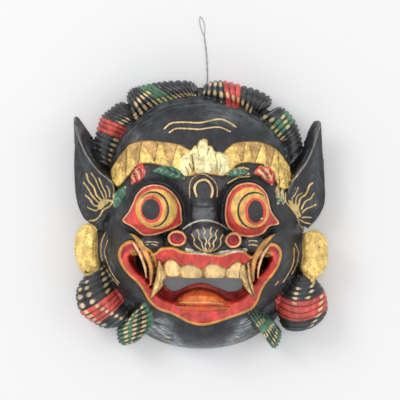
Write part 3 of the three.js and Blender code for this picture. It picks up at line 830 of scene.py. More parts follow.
RIDGE_RISE = 0.5
GROOVE = dict(depth=1.9, starts=0.4)  # where it starts, from a ridge's crest (0) to its edge (1)
FINE_GROOVE = dict(depth=1.4, starts=0.62)


def cut_ridges(made):
    """Cuts the grooves between the ridges of hair."""
    points = coordinates(made.data)
    x, y, _ = points.T
    depth = np.zeros(len(points))
    for roll in ROLLS:
        ridge, across = roll_place(x, y, roll)
        on = (ridge > 0) & (ridge < roll["ridges"]) & (across > -0.2) & (across < 1.02)
        from_crest = np.abs(2 * np.mod(ridge, 1) - 1)
        groove = FINE_GROOVE if roll.get("fine") else GROOVE
        depth = np.where(on, RIDGE_RISE - groove["depth"] * ease(from_crest, groove["starts"], 1.0), depth)
    set_coordinates(made.data, points + normals(made.data) * depth[:, None])


BAND_DENTS = dict(lumps=0.14, depth=0.8)  # lumps are to the millimetre
EARRING_DENTS = dict(lumps=0.26, depth=2.4)
WRINKLES = dict(lumps=0.35, depth=0.5)
EARRING_CREASE = dict(depth=1.2, half_width=1.5)
GILT_ABOVE = 3  # there is no gilding lower than this
EARRINGS_BEYOND = 98  # gilding farther out than this is an earring's


def crumple_gilding(made):
    """Creases, dents and folds in the gilded carving, deeper on the earrings than on the headband."""
    points = coordinates(made.data)
    x, y, z = points.T
    gilt = ease(gilt_depth(x, y), -0.5, 1.5) * (z > GILT_ABOVE)
    on_earring = np.abs(x) > EARRINGS_BEYOND
    dents = np.zeros(len(points))
    for i in np.nonzero(gilt > 0)[0]:
        place = Vector(points[i])
        dent = EARRING_DENTS if on_earring[i] else BAND_DENTS
        near, following = noise.voronoi(place * dent["lumps"])[0][:2]
        wrinkle = WRINKLES["depth"] * noise.noise(place * WRINKLES["lumps"])
        dents[i] = dent["depth"] * (min(following - near, 0.4) - 0.25) + wrinkle
    for crease in EARRING_CREASES:
        distance = from_line(x, y, crease)[0]
        dents = dents - EARRING_CREASE["depth"] * ease(-distance, -EARRING_CREASE["half_width"], 0)
    set_coordinates(made.data, points + normals(made.data) * (gilt * dents)[:, None])


PAINT_THICKNESS = 0.15
PAINTED_ABOVE = 5  # lines are painted no lower than this


def raise_painted_lines(made):
    """Thick strokes of paint stand a little proud. Returns how near each place is to a painted edge."""
    points = coordinates(made.data)
    x, y, z = points.T
    lines = np.full(len(points), -FAR)
    for _, half, line in PAINTED_LINES:
        lines = np.maximum(lines, half - from_line(x, y, line, 5)[0])
    lift = PAINT_THICKNESS * ease(lines, -0.3, 0.3) * (z > PAINTED_ABOVE)
    set_coordinates(made.data, points + normals(made.data) * lift[:, None])
    edges = np.abs(lines)
    drawn = Paint(x, y)
    paint_hair(drawn)
    edges = np.minimum(edges, np.abs(drawn.depths["dab"]))
    for eye in EYES:
        rings = Paint(x, y)
        paint_eye(rings, eye)
        for depth in rings.depths.values():
            edges = np.minimum(edges, np.abs(depth))
    for outline in (MOUTH_OUTLINE, BAND_OUTLINE):
        edges = np.minimum(edges, np.abs(depth_inside(x, y, outline)))
    return np.where(z > PAINTED_ABOVE, edges, FAR)


def protect_edges(made, edges):
    """Marks the places that may be thinned: everywhere but near a painted edge."""
    group = made.vertex_groups.new(name="may_thin")
    free = np.nonzero(edges > EDGE_MARGIN)[0]
    group.add(free.tolist(), 1.0, "REPLACE")
    return group.name


def gilt_depth(x, y):
    """How far a point is inside the gilded parts."""
    depth = depth_inside(x, y, BAND_OUTLINE)
    for gilt in EARRINGS:
        depth = np.maximum(depth, depth_inside(x, y, gilt["outline"]) + 0.8)
    return depth


GOUGES = dict(lumps=(9, 5, 9), depth=0.016)  # both for a hollow of size 1
GAP_BACK = 10
GAP_HEIGHT = 130
WIRE_X = 7.5
WIRE_HOLE = dict(radius=1.6, z=9, middle=125, length=60)
WIRE_NOTCH = dict(width=4, depth=1.6, inner=100, outer=150)
CLEAR = 200  # farther out than any part of the mask
FLOOR_CUT_Z = -60


def hollow_size():
    return np.array([HOLLOW["half_width"], HOLLOW["half_height"], HOLLOW["depth"]])


def hollow_cutter():
    """The space behind the face, with the hollows that a gouge leaves."""
    shape = bmesh.new()
    bmesh.ops.create_uvsphere(shape, u_segments=96, v_segments=72, radius=1)
    made = new_object("hollow", shape)
    points = coordinates(made.data)
    gouges = np.array([noise.voronoi(Vector(point * GOUGES["lumps"]))[0][0] for point in points])
    place = points * hollow_size() * (1 - GOUGES["depth"] * np.clip(gouges, 0, 1))[:, None]
    set_coordinates(made.data, place + np.array([FACE["x"], FACE["y"], 0]))
    return made


GAP_OUTLINE = [
    (-37, -64), (-33, -73), (-24, -76), (-10, -70), (4, -68), (18, -73), (30, -77), (41, -74),
    (42, -64), (34, -61.5), (3, -61.5), (-28, -61.5),
]


def gap_cutter():
    """The slot that goes right through between the upper teeth and the tongue."""
    shape = bmesh.new()
    outline = smooth_curve(GAP_OUTLINE, True, 6)
    corners = [shape.verts.new((px, py, GAP_BACK)) for px, py in outline]
    face = shape.faces.new(corners)
    grown = bmesh.ops.extrude_face_region(shape, geom=[face])
    top = [item for item in grown["geom"] if isinstance(item, bmesh.types.BMVert)]
    bmesh.ops.translate(shape, verts=top, vec=(0, 0, GAP_HEIGHT))
    bmesh.ops.recalc_face_normals(shape, faces=shape.faces)
    return new_object("gap", shape)


def block(name, low, high):
    shape = bmesh.new()
    bmesh.ops.create_cube(shape, size=1)
    middle = [(a + b) / 2 for a, b in zip(low, high)]
    bmesh.ops.scale(shape, verts=shape.verts, vec=[b - a for a, b in zip(low, high)])
    bmesh.ops.translate(shape, verts=shape.verts, vec=middle)
    return new_object(name, shape)


def wire_drill():
    """Bores the wire's hole through the rim over the crown."""
    shape = bmesh.new()
    bmesh.ops.create_cone(shape, cap_ends=True, segments=16, radius1=WIRE_HOLE["radius"],
                          radius2=WIRE_HOLE["radius"], depth=WIRE_HOLE["length"])
    for vert in shape.verts:
        vert.co = (WIRE_X + vert.co.x, WIRE_HOLE["middle"] + vert.co.z, WIRE_HOLE["z"] + vert.co.y)
    bmesh.ops.recalc_face_normals(shape, faces=shape.faces)
    return new_object("drill", shape)


def wire_notch():
    """Cuts the shallow way under the rim by which the wire comes out again."""
    half = WIRE_NOTCH["width"] / 2
    return block("notch", (WIRE_X - half, WIRE_NOTCH["inner"], -5),
                 (WIRE_X + half, WIRE_NOTCH["outer"], WIRE_NOTCH["depth"]))


def cut(made, cutter):
    apply_modifier(made, "BOOLEAN", operation="DIFFERENCE", solver="MANIFOLD", object=cutter)
    bpy.data.objects.remove(cutter)


def sweep_crumbs(made):
    """Clears away loose crumbs that the knife leaves, keeping the one block."""
    shape = bmesh.new()
    shape.from_mesh(made.data)
    shape.verts.ensure_lookup_table()
    left = set(shape.verts)
    islands = []
    while left:
        island, reached = set(), [left.pop()]
        while reached:
            vert = reached.pop()
            island.add(vert)
            for edge in vert.link_edges:
                other = edge.other_vert(vert)
                if other in left:
                    left.remove(other)
                    reached.append(other)
        islands.append(island)
    block_itself = max(islands, key=len)
    crumbs = [vert for island in islands if island is not block_itself for vert in island]
    bmesh.ops.delete(shape, geom=crumbs, context="VERTS")
    shape.to_mesh(made.data)
    shape.free()


def carve_mask():
    """The one block: built up from its forms, melted together, cut, thinned and hollowed."""
    parts = [face_block()]
    parts += [hair_roll(roll) for roll in ROLLS]
    parts += [ear(name, lines) for name, lines in EARS.items()]
    parts += [earring(f"earring_{i}", **gilt) for i, gilt in enumerate(EARRINGS)]
    parts += [earring_stem(f"stem_{i}", *stem) for i, stem in enumerate(EARRING_STEMS)]
    made = joined("mask_carved", parts)
    apply_modifier(made, "REMESH", mode="VOXEL", voxel_size=VOXEL)
    apply_modifier(made, "SMOOTH", factor=0.5, iterations=2)
    cut_ridges(made)
    crumple_gilding(made)
    cut(made, gap_cutter())
    cut(made, block("floor", (-CLEAR, -CLEAR, FLOOR_CUT_Z), (CLEAR, CLEAR, 0)))
    group = protect_edges(made, raise_painted_lines(made))
    triangles = sum(len(face.vertices) - 2 for face in made.data.polygons)
    apply_modifier(made, "DECIMATE", ratio=min(1.0, MOST_TRIANGLES / triangles), vertex_group=group,
                   vertex_group_factor=EDGE_CARE)
    for cutter in (hollow_cutter(), wire_drill(), wire_notch()):
        cut(made, cutter)
    sweep_crumbs(made)
    return made


# ---- Where each paint goes -----------------------------------------------------------------

# Every paint is laid as lines (half-width, points), areas (outline) and ovals (centre, size), and
# its attribute holds how many millimetres inside the paint's edge a place is.
PAINTED_LINES = [
    ("ink", 1.4, [(-8, 9.6), (4, 8.4), (15, 9.6)]),
    ("ink", 0.5, [(-68.6, -21.8), (-66.6, -24.0), (-61.6, -29.4), (-57, -37), (-53.2, -45.4),
                  (-51.2, -54), (-51, -63), (-51.4, -66)]),
    ("ink", 0.5, [(-67.8, -27), (-61.6, -38.4), (-58, -46), (-55.6, -53.6), (-54.8, -61)]),
    ("ink", 0.5, [(72.4, -24), (66.6, -29.6), (61.2, -36.6), (57.4, -44.7), (55.4, -53), (55.2, -60),
                  (56, -65)]),
    ("ink", 0.45, [(67.8, -35), (63.8, -41), (61.3, -47), (59.4, -54), (58.6, -60)]),
    ("shade", 0.6, [(-54, -31), (-49, -38), (-45.6, -46), (-44.8, -55), (-46, -64)]),
    ("shade", 0.5, [(60, -28), (54, -36), (50.4, -45), (49.6, -50)]),
    ("cream", 0.7, [(-35.5, 86), (-28.4, 91.6), (-15, 92.5), (0, 92), (18, 95.6), (27, 93.4), (36, 87.6)]),
    ("cream", 0.65, [(-30.6, 82), (-24, 86), (-13, 86), (0, 85.4), (18, 87.6), (30, 83)]),
    ("cream", 0.5, [(-95.3, -17.6), (-99, -28), (-99.3, -40), (-96, -52), (-90, -61), (-82, -70)]),
    ("cream", 0.5, [(-92.4, -25), (-96, -37), (-94, -45), (-90, -55), (-85, -63), (-81, -68)]),
    ("cream", 0.5, [(95, -28.6), (98.6, -36), (98.6, -42), (97, -50), (92, -59)]),
    ("cream", 0.5, [(94, -33), (93.7, -45), (91, -54), (83, -67)]),
    ("cream", 0.5, [(78, -66), (75, -70)]),
    ("worn", 0.45, [(-126, 90), (-120, 73), (-112, 58), (-101.7, 44.4), (-92, 35.6), (-87.3, 31.6)]),
    ("stroke", 0.5, [(-92, 35.6), (-87.3, 31.6), (-86, 26), (-87, 18)]),
    ("worn", 0.45, [(120.6, 90), (115.8, 74), (111, 62), (105.5, 51), (97.5, 39.6)]),
    ("stroke", 0.5, [(97.5, 39.6), (92, 34), (87, 27.6), (85.5, 21), (86.3, 13), (92, 6), (97.5, -2),
                     (100, -10), (106, -14)]),
    ("stroke", 0.8, [(-111, -6), (-105, -5), (-100, 0), (-97, 5), (-91, 8.5), (-87.3, 13)]),
    ("stroke", 0.9, [(-113.7, 41), (-111.7, 34), (-106.5, 27.6), (-104, 20.5), (-99.3, 15), (-97, 11.7)]),
    ("stroke", 0.6, [(-109, 42), (-105, 36.4), (-101.7, 28.4), (-98.5, 22), (-96, 16.5)]),
    ("stroke", 0.6, [(-101, 37), (-97.7, 29), (-94.5, 22), (-93.7, 16.5)]),
    ("stroke", 0.6, [(-93, 29), (-90.5, 23.7), (-90.5, 18)]),
    ("stroke", 0.7, [(-116.8, 32.4), (-112, 26), (-108, 19), (-102.5, 13.3), (-99, 11.7)]),
    ("stroke", 0.7, [(-115, 19.7), (-110.5, 15.7), (-106.5, 10), (-101.7, 8.5)]),
    ("stroke", 0.6, [(-113, 7.7), (-108, 5.3), (-104, 4.5), (-100, 7.7)]),
    ("stroke", 0.6, [(98.3, 27.6), (95, 20.5), (92, 16.5), (92.7, 11.7)]),
    ("stroke", 0.6, [(102.3, 22), (97.5, 19), (96, 15), (96, 11)]),
    ("stroke", 0.9, [(112.7, 32), (109.5, 29), (106.3, 21), (100.7, 16.5), (98.7, 9.3)]),
    ("stroke", 0.7, [(114.6, 21.7), (111, 16.5), (105.5, 13.3), (101.5, 6)]),
    ("stroke", 0.6, [(116.6, 10.5), (111, 7.7), (106.3, 6), (102.3, 2)]),
    ("stroke", 0.6, [(112, -2.7), (106.3, -2.3), (102.3, -2.7)]),
    ("stroke", 0.6, [(111, -9), (104.7, -7.4), (100, -4.7)]),
    ("cream", 1.1, THIRD_EYE_ARCH),
    ("cream", 0.42, [(-10, 17), (-10.4, 27), (-8.5, 34.8), (-3, 39.3), (5, 40), (13.8, 34), (17, 26.6),
                     (16.9, 18)]),
    ("grey", 0.8, [(-17, -13.5), (-6, -7), (6, -5), (18, -8), (28, -14)]),
    ("cream", 0.55, [(7, -36), (0, -33), (-5.5, -28), (-5.6, -23), (-8, -18.5)]),
    ("cream", 0.55, [(7, -36), (2.6, -31), (1.6, -26.5), (-1.4, -22), (-1, -18.5), (-3, -14)]),
    ("cream", 0.55, [(7.4, -36), (5, -30), (6.4, -25), (3.6, -20), (4.8, -15.6), (2.6, -11.5)]),
    ("cream", 0.55, [(8, -36), (9.6, -30), (8.4, -25), (11, -20), (9.8, -15.6), (11.4, -11.5)]),
    ("cream", 0.55, [(8.6, -36), (13.2, -31), (13, -26.5), (16, -22), (15, -18), (17, -14)]),
    ("cream", 0.55, [(9, -36), (16, -33), (20.4, -28), (20, -23.4), (22.4, -19)]),
    ("cream", 0.45, [(-54, -26.6), (-47, -26), (-41, -27)]),
    ("cream", 0.45, [(-53, -29), (-47, -28.5), (-42, -29.6)]),
    ("cream", 0.45, [(48, -25.3), (52, -24.8), (56, -25.6)]),
    ("cream", 0.45, [(48, -29.3), (52, -29), (56, -29.8)]),
    ("grey", 1.6, [(-13, -33.6), (-6, -35.6), (2, -37)]),
    ("grey", 1.7, [(20, -36.9), (30, -35.6), (40, -34), (45, -34.4)]),
    ("grey", 0.9, [(2, -37), (10, -37.6), (20, -36.9)]),
    ("cream", 0.5, [(-35, -123), (-31, -124)]), ("cream", 0.5, [(36, -122), (40, -123.5)]),
    # Painted highlight along the tongue, just above its crease.
    ("glow", 0.5, [(-21, -87), (-6, -86.4), (10, -86.8), (24, -88.4)]),
    ("shade", 0.6, [(-24, -89.5), (-6, -90), (12, -90), (30, -91)]),
    ("shade", 0.4, [(-19, -93.5), (-4, -95), (12, -95), (26, -94)]),
    ("cream", 0.8, [(38, 46.8), (43, 47), (48, 45.6)]),
    ("cream", 0.7, [(27.5, 31.6), (37.5, 37), (48.8, 38.3)]),
    ("cream", 1.1, [(76.8, 27), (78, 22), (78, 18)]), ("cream", 1.0, [(81.8, 25), (83, 20), (83.3, 16)]),
    ("cream", 1.2, [(58, 44), (62, 41), (65, 37)]), ("cream", 0.9, [(65, 46), (69, 41), (71, 35)]),
    ("cream", 0.8, [(-64, 45), (-61, 40), (-60, 36)]), ("cream", 0.7, [(-67, 38), (-65, 34)]),
    ("ink", 0.5, [(-66, 42), (-64, 37), (-63, 33)]), ("ink", 0.5, [(-61, 47), (-58.5, 42), (-58, 38)]),
    ("ink", 0.5, [(61, 45), (65, 41), (67, 36)]),
    ("fold", 0.6, [(-14.2, 47.6), (-10.5, 39)]), ("fold", 0.6, [(-11, 51), (-6.8, 42.7)]),
    ("fold", 0.45, [(-7.4, 58), (-6.6, 50), (-5.4, 43)]),
    ("fold", 0.45, [(15.2, 60), (16.6, 52), (17, 44.7)]),
    ("fold", 0.4, [(-2.8, 67), (-0.4, 58.4)]), ("fold", 0.4, [(8.2, 66.5), (6.8, 58.4)]),
    ("fold", 0.4, [(19.6, 57), (20.6, 50), (19.4, 43)]), ("fold", 0.4, [(-19, 56), (-15, 63)]),
]
PAINTED_AREAS = [
    ("stroke", [(-102.5, 8.5), (-99.3, 15), (-94.5, 15.7), (-89, 15), (-87.3, 14), (-93.7, 11),
                (-100, 5.3)]),
    ("stroke", [(88, 15.7), (94.3, 11), (98.3, 9.3), (100, 2), (100.7, -2), (97.5, -2), (92, 6)]),
]
# Patches of thin grey over the black ground, partly dry brush and partly painted sheen: centre, size,
# strength.
BRUSHED_PATCHES = [
    ((-40, -118), (18, 10), 0.5), ((46, -119), (18, 10), 0.5), ((4, -134), (48, 7), 1.0),
    ((4, 2), (14, 12), 0.8), ((-116, 40), (8, 40), 0.4), ((116, 30), (8, 40), 0.4),
    ((-92, -40), (10, 34), 0.5), ((92, -40), (10, 34), 0.4), ((-60, -84), (14, 10), 0.4),
    ((68, -90), (14, 10), 0.4), ((-72, 78), (16, 18), 0.6), ((72, 70), (14, 18), 0.4),
    ((4, -18), (14, 6), 0.8), ((30, 100), (30, 14), 0.5),
]
# Long strokes of the same grey: half-width, strength and line.
BRUSHED_STROKES = [
    (2.5, 0.8, [(-33, -104), (-28, -116), (-17, -129)]), (2.5, 0.8, [(40, -106), (36, -118), (26, -129)]),
    (2.5, 0.55, [(-84, 66), (-74, 82), (-60, 95), (-40, 106), (-16, 114)]),
    (2, 0.5, [(14, 112), (34, 105), (52, 96), (66, 84), (78, 68)]),
]
# Crescents beside the chin that are scraped through to pale lines.
CHIN_SCRAPES = [
    [(-35, -101), (-30, -110), (-25, -119), (-14, -130), (-24, -136), (-44, -127), (-58, -110),
     (-46, -102)],
    [(41, -103), (36, -112), (32, -120), (22, -130), (32, -135.5), (50, -125), (62, -109), (50, -102)],
]
# Bare wood shows where the ears' tips are chipped: place, half-width and half-height.
EAR_CHIPS = [(-126.5, 96.5, 2.2, 3.2), (120.5, 94, 1.6, 1.4)]
# Patches left darkest: centre and size.
DARK_PATCHES = [((4, -118), (28, 16)), ((4, 78), (34, 9)), ((-84, -20), (8, 16)), ((90, -18), (8, 16))]


def stripe(distance, half, at=0.0):
    """How far inside a stripe a place is, where the stripe's middle runs at so much distance."""
    return half - np.abs(distance - at)


class Paint:
    """How deep inside each paint every point of the carving is."""

    def __init__(self, x, y):
        self.x, self.y = x, y
        self.depths = {}

    def lay(self, paint, depth):
        before = self.depths.get(paint, np.full(self.x.shape, -FAR))
        self.depths[paint] = np.maximum(before, depth)

    def line(self, paint, half, points):
        self.lay(paint, half - from_line(self.x, self.y, points, 6)[0])

    def area(self, paint, outline):
        self.lay(paint, depth_inside(self.x, self.y, outline, 6))

    def oval(self, paint, x, y, half_width, half_height, turn=0.0):
        self.lay(paint, self.from_oval(x, y, half_width, half_height, turn))

    def from_oval(self, x, y, half_width, half_height, turn=0.0):
        dx, dy = self.x - x, self.y - y
        across, up = dx * math.cos(turn) + dy * math.sin(turn), dy * math.cos(turn) - dx * math.sin(turn)
        return (1 - np.hypot(across / half_width, up / half_height)) * min(half_width, half_height)


LOW_RED = dict(inset=2.5, below=14)  # the darker red low on the ball
EYE_ARC = dict(half_width=0.15, lit_half_width=0.75, tilt=0.35)  # inked round the iris
GLINT_SIZE = (1.5, 0.8)


def paint_eye(brush, eye):
    """Red ball with a cream lid line, yolk, iris, inked arc, crimson ring and pupil."""
    edge = depth_inside(brush.x, brush.y, eye["outline"], 8)
    brush.lay("red", edge + 0.4)
    brush.lay("deep_red", np.minimum(edge - LOW_RED["inset"], eye["y"] - LOW_RED["below"] - brush.y))
    brush.lay("cream", stripe(edge, 0.55, 0.5))
    yolk = brush.from_oval(*eye["yolk"])
    brush.lay("orange", np.minimum(yolk, edge - 1.8))
    brush.lay("yellow", np.minimum(yolk - 1.0, edge - 2.8))
    arc = np.abs(brush.from_oval(*eye["arc"]))
    cx, cy, arc_width, _ = eye["arc"]
    turned = ((brush.x - cx) * eye["lit_side"] + EYE_ARC["tilt"] * (brush.y - cy)) / arc_width
    half = EYE_ARC["half_width"] + EYE_ARC["lit_half_width"] * ease(turned, -0.9, 0.7)
    brush.lay("ink", np.minimum(half - arc, edge - 3))
    brush.oval("iris", *eye["orange"])
    brush.oval("crimson", *eye["crimson"])
    brush.oval("ink", *eye["pupil"])
    if eye["glint"]:
        brush.oval("glint", *eye["glint"], *GLINT_SIZE)


# Painted shade: the throat's reds darken towards its depths.
THROAT_REDS = [("deep_red", 2.5, 0.4, -60), ("maroon", 6.5, 0.8, -71)]  # inset, clear of tongue, top
TEETH_EDGE = dict(left=-38, right=46, below=3)
GUM_STRIPE = dict(half=0.75, at=0.2, left=-42, right=48)
IVORY = dict(fade=9, margin=0.6, below_gum=1.3)
BACK_TOOTH_PAINT = (4.8, 2.8)
# Painted highlight across the middle of the tongue.
TONGUE_HIGHLIGHT = dict(inset=3, y=-84, half_height=4, x=1, half_width=17)


def paint_mouth(brush):
    """Red lips with painted shade in the throat and the mouth's corners, pits painted dark, gum, teeth,
    fangs, strips and tongue.
    """
    x, y = brush.x, brush.y
    lips = depth_inside(x, y, MOUTH_OUTLINE, 30)
    throat = depth_inside(x, y, THROAT_OUTLINE, 12)
    tongue = depth_inside(x, y, TONGUE, 8)
    brush.lay("red", lips)
    brush.lay("orange", np.minimum(lips + 0.3, 2.4 - lips))
    brush.lay("black", stripe(lips, 0.6, -0.8))
    for paint, inset, clear, top in THROAT_REDS:
        brush.lay(paint, np.minimum(np.minimum(throat - inset, -tongue - clear), top - y))
    for paint, corner_patch in MOUTH_SHADE_AND_FILL:
        brush.area(paint, corner_patch)
    for pit in MOUTH_PITS:
        brush.lay("maroon", depth_inside(x, y, pit) + 1.6)
        brush.lay("black", depth_inside(x, y, pit) + 0.3)
    gum = gum_depth(x, y)
    between = np.minimum(x - TEETH_EDGE["left"], TEETH_EDGE["right"] - x)
    brush.lay("tooth_edge", np.minimum(np.minimum(between, y - TEETH_LOW + TEETH_EDGE["below"]), 0.4 - gum))
    between = np.minimum(x - GUM_STRIPE["left"], GUM_STRIPE["right"] - x)
    brush.lay("gum", np.minimum(stripe(gum, GUM_STRIPE["half"], GUM_STRIPE["at"]), between))
    for tooth in TEETH:
        block = tooth_height(x, y, tooth)[1]
        front = np.where(block > 0, IVORY["fade"] * block - IVORY["margin"], -3)
        brush.lay("ivory", np.minimum(front, -gum - IVORY["below_gum"]))
    for fang in FANGS:
        distance, _, half = tapering(x, y, fang)
        brush.lay("fang", half - distance - 0.2)
        brush.lay("ivory", stripe(distance, 0.16 * half, 0.3 * half))
        brush.lay("fang_line", stripe(distance - half, 0.4, 0.1))
    for strip in STRIPS:
        distance, _, half = tapering(x, y, strip)
        brush.lay(strip["paint"], half - distance - 0.2)
    for centre in BACK_TEETH:
        brush.oval("strip", *centre, *BACK_TOOTH_PAINT)
    brush.lay("tongue", np.minimum(tongue, y + 95.5))
    # Painted highlight: a brighter band across the middle of the tongue.
    level = stripe(y, TONGUE_HIGHLIGHT["half_height"], TONGUE_HIGHLIGHT["y"])
    upright = stripe(x, TONGUE_HIGHLIGHT["half_width"], TONGUE_HIGHLIGHT["x"])
    brush.lay("tongue_glow", np.minimum(np.minimum(tongue - TONGUE_HIGHLIGHT["inset"], level), upright))
    brush.lay("shade", np.minimum(stripe(tongue, 1.6, 0.6), y + 86))


NOSTRIL_RIM = 2.1
NOSTRIL_PIT = dict(right=1.0, up=0.6, share=0.42)


def paint_nose(brush):
    """A pale rim, a red nostril and a dark pit on each side."""
    for nostril in NOSTRILS:
        (x, y), (across, up), turn = nostril["centre"], nostril["size"], nostril["turn"]
        brush.oval("rim", x, y, across, up, turn)
        brush.oval("nostril", x, y, across - NOSTRIL_RIM, up - NOSTRIL_RIM, turn)
        share = NOSTRIL_PIT["share"]
        brush.oval("pit", x + NOSTRIL_PIT["right"], y + NOSTRIL_PIT["up"], across * share, up * share, turn)


LEAF_VEINS = dict(strength=1.1, less=0.5, along=5, slant=5)


def paint_leaves(brush):
    """Each leaf in its colour, veined, with a broken cream edge."""
    for leaf in BROW_LEAVES:
        depth, place, side = leaf_shape(brush.x, brush.y, leaf)
        brush.lay(leaf["paint"], depth)
        brush.lay("cream", np.where(np.sin(9 * place + side) > -0.4, stripe(depth, 0.5, 0.5), -1))
        turns = place * LEAF_VEINS["along"] + np.abs(side) / LEAF_VEINS["slant"]
        veins = LEAF_VEINS["strength"] * np.sin(2 * math.pi * turns) - LEAF_VEINS["less"]
        brush.lay(leaf["paint"] + "_vein", np.minimum(veins, depth - 1))


WORN_BAND = dict(ridge=2.6, across=2.2, waves=9)
CENTRE_STEPS = dict(known=9, drawn=30)  # to measure how long a roll is down its middle


def roll_size(roll):
    """A roll's mean width and the mean size of its ridges."""
    middle = (np.array(roll["outer"]).mean(0) - np.array(roll["inner"]).mean(0))
    at = np.linspace(0, 1, CENTRE_STEPS["known"])
    pairs = zip(along_curve(roll["outer"], at), along_curve(roll["inner"], at))
    centres = along_curve([(outer + inner) / 2 for outer, inner in pairs],
                          np.linspace(0, 1, CENTRE_STEPS["drawn"]))
    length = float(np.linalg.norm(np.diff(centres, axis=0), axis=1).sum())
    return float(np.hypot(*middle)), length / roll["ridges"]


def paint_hair(brush):
    """Bands and dabs on the hair. Returns 1 where its ridges crest and -1 in the grooves between."""
    ridges = np.zeros(brush.x.shape)
    for roll in ROLLS:
        ridge, across = roll_place(brush.x, brush.y, roll)
        on = (ridge > -0.5) & (across > -0.12) & (across < 1.06)
        ridges = np.where(on, -np.cos(2 * math.pi * ridge), ridges)
        width, ridge_size = roll_size(roll)
        for paint in ("red", "green"):
            if roll[paint]:
                first, last = roll[paint]
                band = np.minimum(ridge - first, last - ridge) * ridge_size
                if roll.get("worn"):
                    crest = 1 - WORN_BAND["ridge"] * np.cos(2 * math.pi * ridge)
                    waves = WORN_BAND["across"] * np.cos(WORN_BAND["waves"] * across)
                    band = np.minimum(band, crest - waves)
                brush.lay("hair_" + paint, np.where(on, band, -FAR))
        for (first, start), (last, end) in roll["rows"]:
            number = np.clip(np.floor(ridge), math.ceil(first - 0.5), math.floor(last))
            middle = start + (end - start) * np.clip((number - first) / max(last - first, 1e-6), 0, 1)
            long_way = roll.get("dab", DAB_HALF_LENGTH) - np.abs(across - middle) * width
            wide_way = (DAB_SHARE - np.abs(ridge - number - 0.5)) * ridge_size
            brush.lay("dab", np.where(on, np.minimum(long_way, wide_way), -FAR))
    return ridges


SKULL_BRUSHED = dict(above=40, least=0.15, edge=0.45, edge_inset=5, edge_half=11)
FACE_BRUSHED = 0.2
DARK_SHARE = 0.9  # how much of the grey a dark patch loses


def brushed_zones(x, y):
    """Where the black ground is brushed over with thin grey, from 0 to 1; the grey is partly painted sheen.
    """
    cap = depth_inside(x, y, CAP_EDGE, HAIR_BED["full_from"])
    edge = ease(-np.abs(cap - SKULL_BRUSHED["edge_inset"]), -SKULL_BRUSHED["edge_half"], 0)
    skull = SKULL_BRUSHED["least"] + SKULL_BRUSHED["edge"] * edge
    zones = np.where(y > SKULL_BRUSHED["above"], skull, FACE_BRUSHED)
    for centre, size, strength in BRUSHED_PATCHES:
        zones = np.maximum(zones, strength * ease(bump(x, y, centre, size), 0.0, 0.8))
    for half, strength, line in BRUSHED_STROKES:
        zones = np.maximum(zones, strength * ease(half - from_line(x, y, line)[0], -3, 1.5))
    for centre, size in DARK_PATCHES:
        zones = zones * (1 - DARK_SHARE * ease(bump(x, y, centre, size), 0.0, 0.8))
    return zones


BARE = dict(reach=1.006, scale=90, rim=0.4)  # paint stops this far out from the hollow, and at the rim
LEAST_RUN2 = 0.04  # the shortest edge counted, squared
STORED = (-6, 12)  # depths are kept between these


def bare_wood(points):
    """The unpainted hollow, and the rim's flat back."""
    inside = np.linalg.norm((points - [FACE["x"], FACE["y"], 0]) / hollow_size(), axis=1)
    return np.maximum((BARE["reach"] - inside) * BARE["scale"], BARE["rim"] - points[:, 2])


def crests(mesh, points):
    """How sharply each place bulges, as one over the bend's radius; negative where it is hollowed."""
    pairs = np.empty(len(mesh.edges) * 2, dtype=int)
    mesh.edges.foreach_get("vertices", pairs)
    first, second = pairs.reshape(-1, 2).T
    run = points[second] - points[first]
    turn = normals(mesh)[second] - normals(mesh)[first]
    bend = (run * turn).sum(1) / np.maximum((run**2).sum(1), LEAST_RUN2)
    count = np.bincount(pairs, minlength=len(points))
    total = np.bincount(first, bend, len(points)) + np.bincount(second, bend, len(points))
    value = total / np.maximum(count, 1)
    for _ in range(2):
        shared = np.bincount(first, value[second], len(points))
        shared = shared + np.bincount(second, value[first], len(points))
        value = (value + shared / np.maximum(count, 1)) / 2
    return value


def store(mesh, name, values):
    """Keeps one value for each point, for the material to read."""
    attribute = mesh.attributes.new(name, "FLOAT", "POINT")
    attribute.data.foreach_set("value", np.asarray(values, dtype=np.float32))


def paint_mask(made):
    """Works out every paint's depth, the ridges, the crests and the bare wood, and keeps them."""
    points = coordinates(made.data)
    x, y = points[:, 0], points[:, 1]
    brush = Paint(x, y)
    for paint, half, line in PAINTED_LINES:
        brush.line(paint, half, line)
    for paint, outline in PAINTED_AREAS:
        brush.area(paint, outline)
    brush.lay("gold", gilt_depth(x, y))
    band = depth_inside(x, y, BAND_OUTLINE)
    forward, near = pleat_folds(x, y)
    flower = np.max([brush.from_oval(*petal) for petal in FLOWER], axis=0)
    # Painted shade: the pleats that stand back are laid in a darker tan.
    brush.lay("shaded_pleat", np.minimum(np.minimum(band - 0.5, 1 - 2 * forward), -flower - 1))
    brush.lay("fold", np.minimum(np.minimum(0.45 - near, band - 0.8), -flower - 1))
    brush.lay("fold", stripe(band, 0.4, -0.2))
    brush.lay("pale", np.minimum(band, flower))
    for crescent in CHIN_SCRAPES:
        brush.area("scrape", crescent)
    store(made.data, "ridge", paint_hair(brush))
    paint_leaves(brush)
    for tip in EAR_CHIPS:
        brush.oval("chip", *tip)
    for eye in EYES:
        paint_eye(brush, eye)
    paint_mouth(brush)
    paint_nose(brush)
    for paint, depth in brush.depths.items():
        store(made.data, paint, np.clip(depth, *STORED))
    store(made.data, "brushed", brushed_zones(x, y))
    store(made.data, "wood", np.clip(bare_wood(points), *STORED))
    store(made.data, "crest", crests(made.data, points))


# ---- Materials -----------------------------------------------------------------------------

